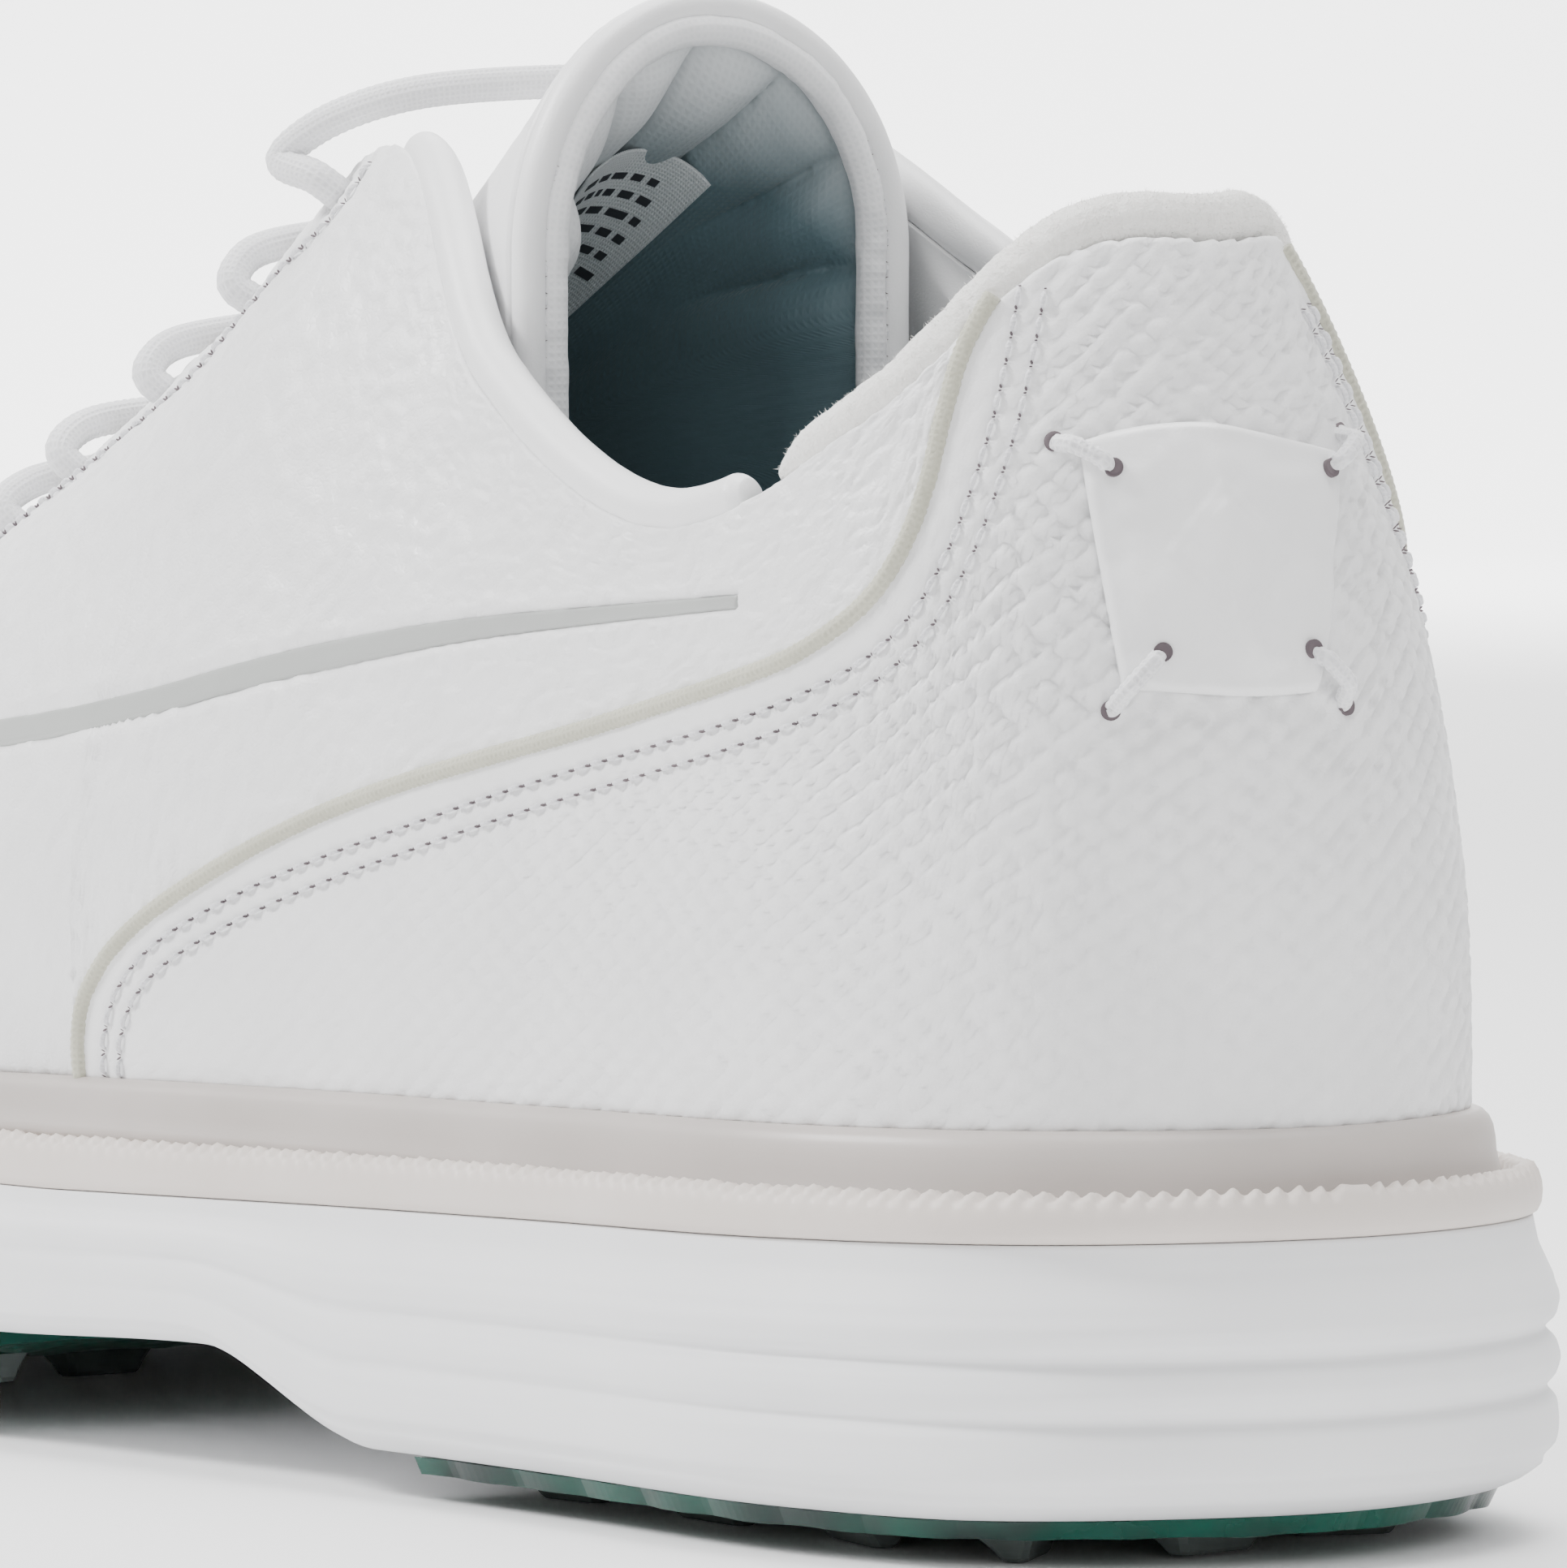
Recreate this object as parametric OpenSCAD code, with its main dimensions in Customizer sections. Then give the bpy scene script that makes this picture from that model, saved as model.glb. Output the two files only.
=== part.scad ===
// Golf shoe, left foot, size US 9 (EU 42)
// Low-cut leather upper on a foam midsole with separate heel and forefoot outsole plates.
// The toe points along -X, the outer side of the foot faces -Y, the ground is Z = 0.

/* [View] */
// Which sub-part to show

/* [Sole] */
// Height of the midsole underside at the heel (mm)
heel_ground_gap = 4; // [3:0.5:6]
// Height of the foam under the welt (mm)
midsole_top = 25.8; // [24:0.2:30]
// Height of the welt strip (mm)
welt_height = 3.0; // [2:0.1:4]
// How far the welt stands out from the upper (mm)
welt_reach = 6.4; // [4:0.2:8]
// Thickness of the outsole plates (mm)
plate_thickness = 1.6; // [1.2:0.1:2.5]
// Rise of the toe tip above the ball of the foot (mm)
toe_spring = 11; // [4:1:16]

/* [Upper] */
// Thickness of the leather panels (mm)
leather = 1.4; // [1:0.1:2]
// Thickness of the padded collar foam (mm)
foam = 4.0; // [2:0.5:7]
// Diameter of the corded piping (mm)
piping_d = 2.2; // [1.6:0.1:3]
// Diameter of the cream collar trim (mm)
trim_d = 4.6; // [3:0.2:6]
// Diameter of the white topline binding (mm)
binding_d = 4.2; // [3:0.2:5]
// Length of the heel patch around the heel (mm)
patch_width = 24; // [18:1:30]

/* [Laces] */
// Diameter of the round lace (mm)
lace_d = 3.0; // [2.5:0.1:4]
// Diameter of the lace holes (mm)
eyelet_d = 4.2; // [3.8:0.1:5]

/* [Tongue] */
// Thickness of the tongue padding (mm)
tongue_pad = 4.2; // [2:0.2:6]
// Diameter of the rolled tongue edge (mm)
tongue_roll_d = 6.6; // [5:0.2:8]

/* [Hidden] */

// The shoe spans this far from its middle to the heel (mm)
heel_x = 143.8;
// Sideways shift that centres the footprint (mm)
side_y = 2.1;
// Clearance between pieces that lie on each other (mm)
gap = 0.15;

// Stations of the upper, heel to toe on the outer side, then toe to heel on the inner side.
// Each row: feather point (ahead of heel, side, height), top point (ahead, side, height),
// lean of the wall at the feather, its pull, incline at the top edge, its pull.
ST = [
  [0, 0, 35.7, 16, 0, 111.7, 2, 30, 58, 26],
  [9, -22, 35.7, 20, -13, 110, 2, 30, 64, 22],
  [31, -32, 35.3, 30, -25.5, 96, 3, 26, 76, 15],
  [62, -34, 34.8, 56, -29.5, 86.3, 4, 20, 80, 12],
  [95, -37, 34.4, 88, -26, 98.5, 5, 24, 70, 16],
  [122, -41, 34, 116, -16, 119, 7, 30, 48, 18],
  [150, -45, 33.5, 148, -14, 102, 9, 28, 38, 16],
  [182, -49, 33, 184, -11.5, 85.5, 13, 22, 28, 18],
  [226, -49, 33, 208, 0, 77.5, 16, 16, 6, 28],
  [268, -34, 33, 242, 0, 64, 18, 12, 4, 24],
  [290, 4, 33, 265, 0, 54, 24, 10, 14, 12],
  [268, 39, 33, 242, 0, 64, 18, 12, 4, 24],
  [226, 46, 33, 208, 0, 77.5, 16, 16, 6, 28],
  [182, 40, 33, 184, 11.5, 85.5, 12, 22, 28, 16],
  [150, 34, 33.5, 146, 15, 104, 7, 28, 38, 16],
  [122, 31, 34, 109, 19, 121.5, 5, 30, 48, 18],
  [95, 30, 34.4, 87, 29.5, 109.5, 3, 24, 74, 14],
  [62, 31, 34.8, 62, 31.5, 94.5, 3, 20, 84, 12],
  [31, 31, 35.3, 35, 24.5, 98.5, 3, 26, 76, 15],
  [9, 22, 35.7, 21.5, 11.5, 110.5, 2, 30, 64, 22]
];
NS = len(ST);

function herm(p0, p1, p2, p3, f) = let(m1 = (p2 - p0) / 2, m2 = (p3 - p1) / 2)
  (2 * f * f * f - 3 * f * f + 1) * p1 + (f * f * f - 2 * f * f + f) * m1
  + (3 * f * f - 2 * f * f * f) * p2 + (f * f * f - f * f) * m2;
function md(i) = (i % NS + NS) % NS;
function station(u) = let(i = floor(u), f = u - i)
  herm(ST[md(i - 1)], ST[md(i)], ST[md(i + 1)], ST[md(i + 2)], f);
function side_clamp(u, y) = let(v = u - NS * floor(u / NS)) (v >= 8 && v <= 12) ? 0 : y;
function feather_a(u) = let(c = station(u)) [c[0], c[1], c[2]];
function out_dir(u) = let(d = feather_a(u + 0.02) - feather_a(u - 0.02), l = norm([d[0], d[1]]))
  [d[1] / l, -d[0] / l];
function spring(a) = a < 185 ? 0 : toe_spring * pow((a - 185) / 103, 2);
function place(p) = [heel_x - p[0], p[1] + side_y, p[2] + spring(p[0])];
// Outer face of the upper: u runs round the foot, w runs from the sole to the top edge
function wall(u, w) = let(c = station(u), n = out_dir(u), f = [c[0], c[1], c[2]],
  t = [c[3], side_clamp(u, c[4]), c[5]], v = 1 - w,
  p1 = f + c[7] * [n[0] * sin(c[6]), n[1] * sin(c[6]), cos(c[6])],
  p2 = t + c[9] * [n[0] * cos(c[8]), n[1] * cos(c[8]), -sin(c[8])])
  place(v * v * v * f + 3 * v * v * w * p1 + 3 * v * w * w * p2 + w * w * w * t);
function unit(v) = v / norm(v);
function on_ridge(u, w) = let(v = u - NS * floor(u / NS)) w > 0.999 && v >= 8 && v <= 12;
function face_dir(u, w) = let(h = 0.03, v = on_ridge(u, w) ? 0.955 : w, w0 = max(v - h, 0), w1 = min(v + h, 1),
  n = unit(cross(wall(u, w1) - wall(u, w0), wall(u + h, v) - wall(u - h, v))))
  on_ridge(u, w) ? unit([n[0], 0, n[2]]) : n;
// Point at a given depth under the outer face
function skin(u, w, depth) = wall(u, w) - depth * face_dir(u, w);
// Outline of the sole stack at a distance outside the feather line
function rim(u, d, z) = let(p = feather_a(u), n = out_dir(u))
  [heel_x - p[0] - d * n[0], p[1] + d * n[1] + side_y, z + spring(p[0] + d * n[0])];

function lerp_list(t, s) = let(n = len(t) - 1, x = min(max(s, 0), 1) * n, i = min(floor(x), n - 1), f = x - i)
  herm(t[max(i - 1, 0)], t[i], t[i + 1], t[min(i + 2, n)], f);
function table(t, a) = let(n = len(t) - 1,
  k = [for (i = [0:n - 1]) if (a >= t[i][0] && a <= t[i + 1][0]) i],
  i = a <= t[0][0] ? 0 : a >= t[n][0] ? n - 1 : k[0],
  f = min(max((a - t[i][0]) / (t[i + 1][0] - t[i][0]), 0), 1), g = f * f * (3 - 2 * f))
  t[i][1] + (t[i + 1][1] - t[i][1]) * g;

// Closed sheet between an outer grid and an inner grid; rows share their number of points
module sheet(outer, inner, zip_from = -1, zip_to = -1) {
  n = len(outer);
  m = len(outer[0]);
  pts = concat([for (r = outer) each r], [for (r = inner) each r]);
  k = n * m;
  function id(i, j) = (j == m - 1 && zip_from >= 0 && i >= n / 2 && i <= zip_to) ? (n - 1 - i) * m + j : i * m + j;
  function zipped(i) = zip_from >= 0 && i >= zip_from && i < zip_to;
  front = [for (i = [0:n - 2], j = [0:m - 2]) each
    [[id(i, j), id(i + 1, j), id(i + 1, j + 1)], [id(i, j), id(i + 1, j + 1), id(i, j + 1)]]];
  back = [for (t = front) [t[2] + k, t[1] + k, t[0] + k]];
  low = [for (i = [0:n - 2]) each
    [[id(i + 1, 0), id(i, 0), id(i, 0) + k], [id(i + 1, 0), id(i, 0) + k, id(i + 1, 0) + k]]];
  high = [for (i = [0:n - 2]) if (!zipped(i)) each
    [[id(i, m - 1), id(i + 1, m - 1), id(i + 1, m - 1) + k], [id(i, m - 1), id(i + 1, m - 1) + k, id(i, m - 1) + k]]];
  ends = [for (j = [0:m - 2]) each
    [[id(0, j), id(0, j + 1), id(0, j + 1) + k], [id(0, j), id(0, j + 1) + k, id(0, j) + k],
     [id(n - 1, j + 1), id(n - 1, j), id(n - 1, j) + k], [id(n - 1, j + 1), id(n - 1, j) + k, id(n - 1, j + 1) + k]]];
  polyhedron(points = pts, faces = concat(front, back, low, high, ends), convexity = 8);
}

// Leather panel between two edge lines given as [u, w] points
module panel(low, high, d0, d1, nu, nw) {
  function at(i, j) = let(a = lerp_list(low, i / nu), b = lerp_list(high, i / nu)) a + (b - a) * j / nw;
  sheet([for (i = [0:nu]) [for (j = [0:nw]) let(q = at(i, j)) skin(q[0], q[1], d0)]],
        [for (i = [0:nu]) [for (j = [0:nw]) let(q = at(i, j)) skin(q[0], q[1], d1)]]);
}

// Solid from stacked outlines; the caps run across from the outer to the inner side
module stack(rings, closed_section = false) {
  n = len(rings[0]);
  r = len(rings);
  pts = [for (g = rings) each g];
  walls = [for (a = [0:(closed_section ? r - 1 : r - 2)], i = [0:n - 1])
    let(b = (a + 1) % r, j = (i + 1) % n) each
    [[a * n + i, a * n + j, b * n + j], [a * n + i, b * n + j, b * n + i]]];
  caps = closed_section ? [] : [for (i = [0:n / 2 - 2]) each
    [[i + 1, i, n - 1 - i], [i + 1, n - 1 - i, n - 2 - i],
     [(r - 1) * n + i, (r - 1) * n + i + 1, (r - 1) * n + n - 2 - i],
     [(r - 1) * n + i, (r - 1) * n + n - 2 - i, (r - 1) * n + n - 1 - i]]];
  polyhedron(points = pts, faces = [for (f = concat(walls, caps)) [f[2], f[1], f[0]]], convexity = 8);
}

// Round cord swept along a route of points
module cord(route, d, sides = 8) {
  n = len(route);
  function along(i) = unit(route[min(i + 1, n - 1)] - route[max(i - 1, 0)]);
  function carry(i) = i == 0 ? (let(t = along(0), s = abs(t[2]) < 0.9 ? [0, 0, 1] : [1, 0, 0]) unit(cross(t, s)))
    : (let(t = along(i), p = carry(i - 1)) unit(p - t * (p * t)));
  frames = [for (i = 0, f = carry(0); i < n; i = i + 1,
    f = i < n ? (let(t = along(min(i, n - 1))) unit(f - t * (f * t))) : f) f];
  pts = [for (i = [0:n - 1]) let(x = frames[i], y = cross(along(i), x)) each
    [for (k = [0:sides - 1]) route[i] + d / 2 * (x * cos(k * 360 / sides) + y * sin(k * 360 / sides))]];
  faces = concat([for (i = [0:n - 2], k = [0:sides - 1]) let(l = (k + 1) % sides) each
    [[i * sides + k, (i + 1) * sides + l, i * sides + l],
     [i * sides + k, (i + 1) * sides + k, (i + 1) * sides + l]]],
    [[for (k = [0:sides - 1]) k]], [[for (k = [sides - 1:-1:0]) (n - 1) * sides + k]]);
  polyhedron(points = pts, faces = faces, convexity = 6);
}

// Distance of the midsole underside from the ground plane, heel to toe
UNDER = [[0, heel_ground_gap + 0.4], [18, heel_ground_gap], [86, heel_ground_gap], [110, 11.5],
  [142, 10.5], [166, 7], [190, 4.5], [240, 4.5], [300, 5]];
// How far the side wall of the sole flares, round the foot
FLARE = [[0, 1], [2, 0.9], [4, 0.75], [6, 0.6], [8, 0.65], [10, 0.75], [12, 0.65], [14, 0.6], [16, 0.7],
  [18, 0.9], [20, 1]];
// Side wall of the midsole from bottom to top: share of the height, distance outside the feather line
WALL = [[0, 3.2], [0.03, 4.7], [0.1, 7.1], [0.2, 7.8], [0.36, 7.7], [0.47, 8.1], [0.58, 7.4], [0.68, 7.8],
  [0.78, 7.4], [0.9, 5.9], [1, 5.5]];
LOOP = [for (i = [0:59]) (i + 0.5) / 3];
function flare(u) = table(FLARE, u - NS * floor(u / NS));
function under(a) = table(UNDER, a);
function under_at(u) = under(feather_a(u)[0]);
ledge = midsole_top + welt_height + 0.1;

module midsole() color("white") stack(concat(
  [for (r = WALL) [for (u = LOOP) let(b = under_at(u)) rim(u, r[1] * flare(u), b + (midsole_top - b) * r[0])]],
  [[for (u = LOOP) rim(u, -0.6, midsole_top)]],
  [[for (u = LOOP) rim(u, -0.6, ledge)]]));

module welt() color("antiquewhite") stack([
  [for (u = LOOP) rim(u, -0.4, midsole_top + gap)],
  [for (u = LOOP) rim(u, welt_reach * flare(u) - 0.4, midsole_top + gap)],
  [for (u = LOOP) rim(u, welt_reach * flare(u), midsole_top + welt_height / 2)],
  [for (u = LOOP) rim(u, welt_reach * flare(u) - 0.5, midsole_top + welt_height - 0.1)],
  [for (u = LOOP) rim(u, -0.4, midsole_top + welt_height - 0.1)]], true);

module rand() color("rosybrown") stack([
  [for (u = LOOP) rim(u, -3.4, ledge + gap)],
  [for (u = LOOP) rim(u, 2.4 * flare(u), ledge + gap)],
  [for (u = LOOP) rim(u, 1.9 * flare(u), ledge + 2.4)],
  [for (u = LOOP) rim(u, 0.5, feather_a(u)[2] - gap)],
  [for (u = LOOP) rim(u, -3.4, feather_a(u)[2] - gap)]], true);

// Clearance above a plate, and between a plate and its lugs (mm)
plate_gap = 0.25;
lug_gap = 0.16;
// Flat plate under the midsole over a stretch of the outline
module plate(us) stack([
  [for (u = us) rim(u, 1.2, under_at(u) - plate_gap - plate_thickness)],
  [for (u = us) rim(u, 2.1, under_at(u) - plate_gap - plate_thickness * 0.5)],
  [for (u = us) rim(u, 2.1, under_at(u) - plate_gap)]]);
module outsole_heel() color([0.05, 0.2, 0.17]) plate([for (i = [0:39]) -3.55 + 7.1 * i / 39]);
module outsole_forefoot() color([0.05, 0.2, 0.17]) plate([for (i = [0:59]) 5.9 + 8.2 * i / 59]);

// Tapered traction lug standing on the underside of a plate
module lug(a, y, l, w, turn, h) {
  s = (under(a + 4) + spring(a + 4) - under(a - 4) - spring(a - 4)) / 8;
  translate([heel_x - a, y + side_y, under(a) + spring(a) - plate_gap - plate_thickness - lug_gap])
    rotate([0, atan(s), 0]) rotate([180, 0, turn]) linear_extrude(height = h, scale = [0.8, 0.55]) square([l, w], center = true);
}
HEEL_LUGS = [[9, -6, 11, 5, 80], [14, 12, 11, 5, 115], [16, -20, 11, 5, 50], [32, -25, 12, 5, 10],
  [34, 22, 12, 5, -10], [52, -26, 12, 5, 0], [54, 22, 12, 5, 0], [72, -27, 9, 5, -12], [73, 21, 9, 5, 12],
  [34, 0, 10, 6, 90], [56, -2, 10, 6, 90]];
FORE_LUGS = [[160, -34, 9, 5, 0], [161, 25, 9, 5, 0], [186, -38, 12, 5, 5], [186, 28, 12, 5, -5],
  [186, -6, 10, 6, 90], [208, -39, 12, 5, 0], [208, 33, 12, 5, 0], [208, -18, 10, 6, 90], [208, 10, 10, 6, 90],
  [230, -36, 12, 5, -12], [230, 35, 12, 5, 10], [230, -4, 10, 6, 90], [250, -26, 10, 5, -25],
  [251, 29, 10, 5, 25], [252, 3, 10, 6, 90], [268, -8, 10, 5, 65], [269, 16, 10, 5, 120]];
fore_lug_height = 2.3;
module lugs_heel() color("dimgray") for (g = HEEL_LUGS) 
  lug(g[0], g[1], g[2], g[3], g[4], heel_ground_gap - plate_gap - plate_thickness - lug_gap - 0.02);
module lugs_forefoot() color("dimgray") for (g = FORE_LUGS) 
  lug(g[0], g[1], g[2], g[3], g[4], fore_lug_height);

module lasting_board() color("tan") stack([
  [for (u = LOOP) rim(u, -3.8, ledge + gap)],
  [for (u = LOOP) rim(u, -3.8, ledge + gap + 1.3)]]);

// Steel strip that stiffens the waist of the shoe
module shank() color("silver") {
  z = ledge + gap + 1.3 + 0.1;
  translate([0, 0, z]) linear_extrude(height = 0.9) hull() {
    translate([heel_x - 62, side_y - 1]) circle(r = 7, $fn = 32);
    translate([heel_x - 168, side_y - 2]) circle(r = 6, $fn = 32);
  }
}

module insole() color("whitesmoke") {
  z = ledge + gap + 1.3 + 0.1 + 0.9 + 0.1;
  stack([
    [for (u = LOOP) rim(u, -6, z)],
    [for (u = LOOP) rim(u, -4.8, z + 1)],
    [for (u = LOOP) rim(u, -4.6, z + 3.6)],
    [for (u = LOOP) rim(u, -6.2, z + 4)],
    [for (u = LOOP) rim(u, -12, z + 3)]]);
}

// Toe half of the upper, one sheet over the ridge
VAMP_U = concat([7.35, 7.57, 7.78], [for (i = [0:24]) 8 + i / 6], [12.22, 12.43, 12.65]);
module toe_sheet(d0, d1, w0) sheet(
  [for (u = VAMP_U) [for (j = [0:8]) skin(u, w0 + (1 - w0) * j / 8, d0)]],
  [for (u = VAMP_U) [for (j = [0:8]) skin(u, w0 + (1 - w0) * j / 8, d1)]], 3, 27);
module vamp() color("white") toe_sheet(0, leather, 0);
module vamp_lining() color("gainsboro") toe_sheet(leather + 1.6, leather + 2.3, 0);
PUFF_U = [for (i = [0:16]) 8.6 + i * 0.175];
module toe_puff() color("wheat") sheet(
  [for (u = PUFF_U) [for (j = [0:6]) skin(u, j / 6, leather + gap)]],
  [for (u = PUFF_U) [for (j = [0:6]) skin(u, j / 6, leather + gap + 0.95)]], 0, 16);

function flip(v) = [for (i = [len(v) - 1:-1:0]) v[i]];
function mirror_u(v) = flip([for (p = v) [-p[0], p[1]]]);

// Edges of the quarters as [position round the foot, height share]
Q_LOW = [[1.72, 0.67], [2.05, 0.612], [2.6, 0.604], [3.4, 0.492], [4.1, 0.325], [4.74, 0.207], [5.1, 0.152],
  [5.33, 0.08], [5.39, 0.002], [5.8, 0], [6.5, 0], [7.25, 0]];
Q_HIGH = [[1.51, 0.95], [1.8, 0.95], [2.3, 0.95], [2.9, 0.945], [3.5, 0.94], [4, 0.94], [4.5, 0.95],
  [5, 0.965], [5.3, 0.99], [5.8, 1], [6.5, 1], [7.25, 1]];
QM_LOW = [[1.12, 0.67], [1.7, 0.614], [2.65, 0.602], [3.4, 0.492], [4.1, 0.325], [4.74, 0.207], [5.1, 0.152],
  [5.33, 0.08], [5.39, 0.002], [5.8, 0], [6.5, 0], [7.25, 0]];
QM_HIGH = [[0.68, 0.95], [1.2, 0.95], [1.9, 0.95], [2.7, 0.945], [3.4, 0.94], [4, 0.94], [4.5, 0.95],
  [5, 0.965], [5.3, 0.99], [5.8, 1], [6.5, 1], [7.25, 1]];
// Lace holes: positions round the foot and their height share
HOLES = [5.27, 5.75, 6.22, 6.66, 7.06];
hole_w = 0.925;

function depth_of(d, u, w) = is_function(d) ? d(u, w) : d;
module panel2(low, high, d0, d1, nu, nw) {
  function at(i, j) = let(a = lerp_list(low, i / nu), b = lerp_list(high, i / nu)) a + (b - a) * j / nw;
  sheet([for (i = [0:nu]) [for (j = [0:nw]) let(q = at(i, j)) skin(q[0], q[1], depth_of(d0, q[0], q[1]))]],
        [for (i = [0:nu]) [for (j = [0:nw]) let(q = at(i, j)) skin(q[0], q[1], depth_of(d1, q[0], q[1]))]]);
}
// Round cutter through the upper at a lace hole
module eyelet_cut(u) {
  p = skin(u, hole_w, 0);
  n = face_dir(u, hole_w);
  translate(p - 4 * n) rotate([0, acos(n[2]), atan2(n[1], n[0])]) cylinder(d = eyelet_d, h = 8, $fn = 24);
}
module quarter_lateral() color("white") difference() {
  panel2(Q_LOW, Q_HIGH, 0, leather, 33, 9);
  for (u = HOLES) eyelet_cut(u);
}
module quarter_medial() color("white") difference() {
  panel2(mirror_u(QM_LOW), mirror_u(QM_HIGH), 0, leather, 33, 9);
  for (u = HOLES) eyelet_cut(-u);
}
EYE_LOW = [[5.08, 0.83], [5.6, 0.83], [6.2, 0.83], [6.8, 0.83], [7.2, 0.83]];
EYE_HIGH = [[5.08, 0.97], [5.6, 0.995], [6.2, 0.995], [6.8, 0.995], [7.2, 0.995]];
module eyestay_lateral() color("linen") difference() {
  panel2(EYE_LOW, EYE_HIGH, leather + gap, leather + gap + 0.8, 20, 4);
  for (u = HOLES) eyelet_cut(u);
}
module eyestay_medial() color("linen") difference() {
  panel2(mirror_u(EYE_LOW), mirror_u(EYE_HIGH), leather + gap, leather + gap + 0.8, 20, 4);
  for (u = HOLES) eyelet_cut(-u);
}

// Heel overlay
COVER_HIGH = [[-5.2, 0.05], [-5.0, 0.1], [-4.7, 0.16], [-4.1, 0.275], [-3.4, 0.44], [-2.8, 0.535],
  [-2.1, 0.548], [-1.3, 0.575],
  [-0.9, 0.68], [-0.7, 0.84], [-0.5, 0.95], [-0.2, 0.95], [0.2, 0.95], [0.6, 0.95], [1, 0.95], [1.29, 0.95],
  [1.385, 0.84], [1.525, 0.7], [1.77, 0.58], [2.25, 0.555], [2.8, 0.535], [3.4, 0.44], [4.1, 0.275],
  [4.7, 0.16], [5.0, 0.1], [5.2, 0.05]];
COVER_LOW = [for (u = [-5.2, -5.0, -4.7, -4.1, -3.4, -2.8, -2.2, -1.6, -1.15, -0.85, -0.55, -0.2, 0.2,
  0.55, 0.9, 1.2, 1.45, 1.7, 2, 2.35, 2.8, 3.4, 4.1, 4.7, 5.0, 5.2]) [u, 0]];
module heel_cover() color("snow") panel2(COVER_LOW, COVER_HIGH, 0, leather, 50, 7);

COUNTER_HIGH = [[-3.1, 0.3], [-2, 0.42], [-1, 0.46], [0, 0.46], [1, 0.46], [2, 0.42], [3.1, 0.3]];
module heel_counter() color("burlywood") panel2([for (p = COUNTER_HIGH) [p[0], 0.01]], COUNTER_HIGH,
  leather + gap, leather + gap + 1.2, 24, 4);

// Depth of the lining face: deep behind the collar padding, shallow elsewhere
function ease(x) = let(c = min(max(x, 0), 1)) c * c * (3 - 2 * c);
lining_depth = function(u, w) leather + gap + 1.35 * ease((4.6 - abs(u)) / 0.8)
  + 0.95 * ease((abs(u) - 4.2) / 0.6) + (foam - 1.2) * ease((w - 0.5) / 0.14) * ease((4.5 - abs(u)) / 0.9);
module collar_lining() color("darkslategray") {
  us = [for (i = [-6:6]) i * 1.2];
  panel2([for (u = us) [u, 0.005]], [for (u = us) [u, abs(u) > 4.9 ? 0.79 : 0.925]],
    lining_depth, function(u, w) lining_depth(u, w) + 0.8, 48, 8);
}
foam_gap = 0.9;
module collar_foam() color("khaki") {
  us = [for (i = [-6:6]) i * 0.63];
  panel2([for (u = us) [u, 0.55]], [for (u = us) [u, 0.925]],
    leather + gap, function(u, w) lining_depth(u, w) - foam_gap, 30, 6);
}

module collar_trim() color("cornsilk") cord([for (i = [0:36]) let(u = -2.5 + 4.95 * i / 36) skin(u, 1, trim_d / 2)], trim_d, 8);
module topline_binding_lateral() color("white")
  cord([for (i = [0:20]) let(u = 2.66 + 2.3 * i / 20) skin(u, 1, binding_d / 2)], binding_d, 10);
module topline_binding_medial() color("white")
  cord([for (i = [0:20]) let(u = -2.7 - 2.26 * i / 20) skin(u, 1, binding_d / 2)], binding_d, 10);

// Corded piping along the front edge of the heel overlay
PIPE = [[1.42, 0.93], [1.48, 0.84], [1.6, 0.71], [1.82, 0.605], [2.3, 0.58], [2.8, 0.56], [3.4, 0.465],
  [4.1, 0.3],
  [4.74, 0.184], [5.05, 0.13], [5.26, 0.07], [5.29, 0.02]];
PIPE_M = [[0.62, 0.93], [0.78, 0.84], [0.98, 0.69], [1.42, 0.595], [2.15, 0.575], [2.8, 0.56], [3.4, 0.465],
  [4.1, 0.3],
  [4.74, 0.184], [5.05, 0.13], [5.26, 0.07], [5.29, 0.02]];
module piping_lateral() color("wheat")
  cord([for (i = [0:36]) let(q = lerp_list(PIPE, i / 36)) skin(q[0], q[1], 0.3)], piping_d, 8);
module piping_medial() color("wheat")
  cord([for (i = [0:36]) let(q = lerp_list(PIPE_M, i / 36)) skin(-q[0], q[1], 0.3)], piping_d, 8);

STRIPE_LOW = [[2.54, 0.75], [3.0, 0.778], [3.6, 0.65], [4.1, 0.505], [4.65, 0.388], [5.25, 0.36],
  [5.9, 0.354], [6.55, 0.35], [7.2, 0.345]];
STRIPE_HIGH = [[2.54, 0.775], [3.0, 0.81], [3.6, 0.681], [4.1, 0.533], [4.65, 0.41], [5.25, 0.382],
  [5.9, 0.376], [6.55, 0.372], [7.2, 0.367]];
module side_stripe_lateral() color("lightgray") panel2(STRIPE_LOW, STRIPE_HIGH, -0.55, -0.12, 32, 1);
module side_stripe_medial() color("lightgray") panel2(mirror_u(STRIPE_LOW), mirror_u(STRIPE_HIGH), -0.55, -0.12, 32, 1);

patch_mid = 0.33;
patch_half = patch_width / 42;
module heel_patch() color("white") panel2(
  [[patch_mid - 0.55 * patch_half, 0.436], [patch_mid, 0.43], [patch_mid + 0.72 * patch_half, 0.434]],
  [[patch_mid - 1.08 * patch_half, 0.7], [patch_mid, 0.735], [patch_mid + 0.98 * patch_half, 0.715]],
  -1.35, -0.12, 8, 6);

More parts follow.
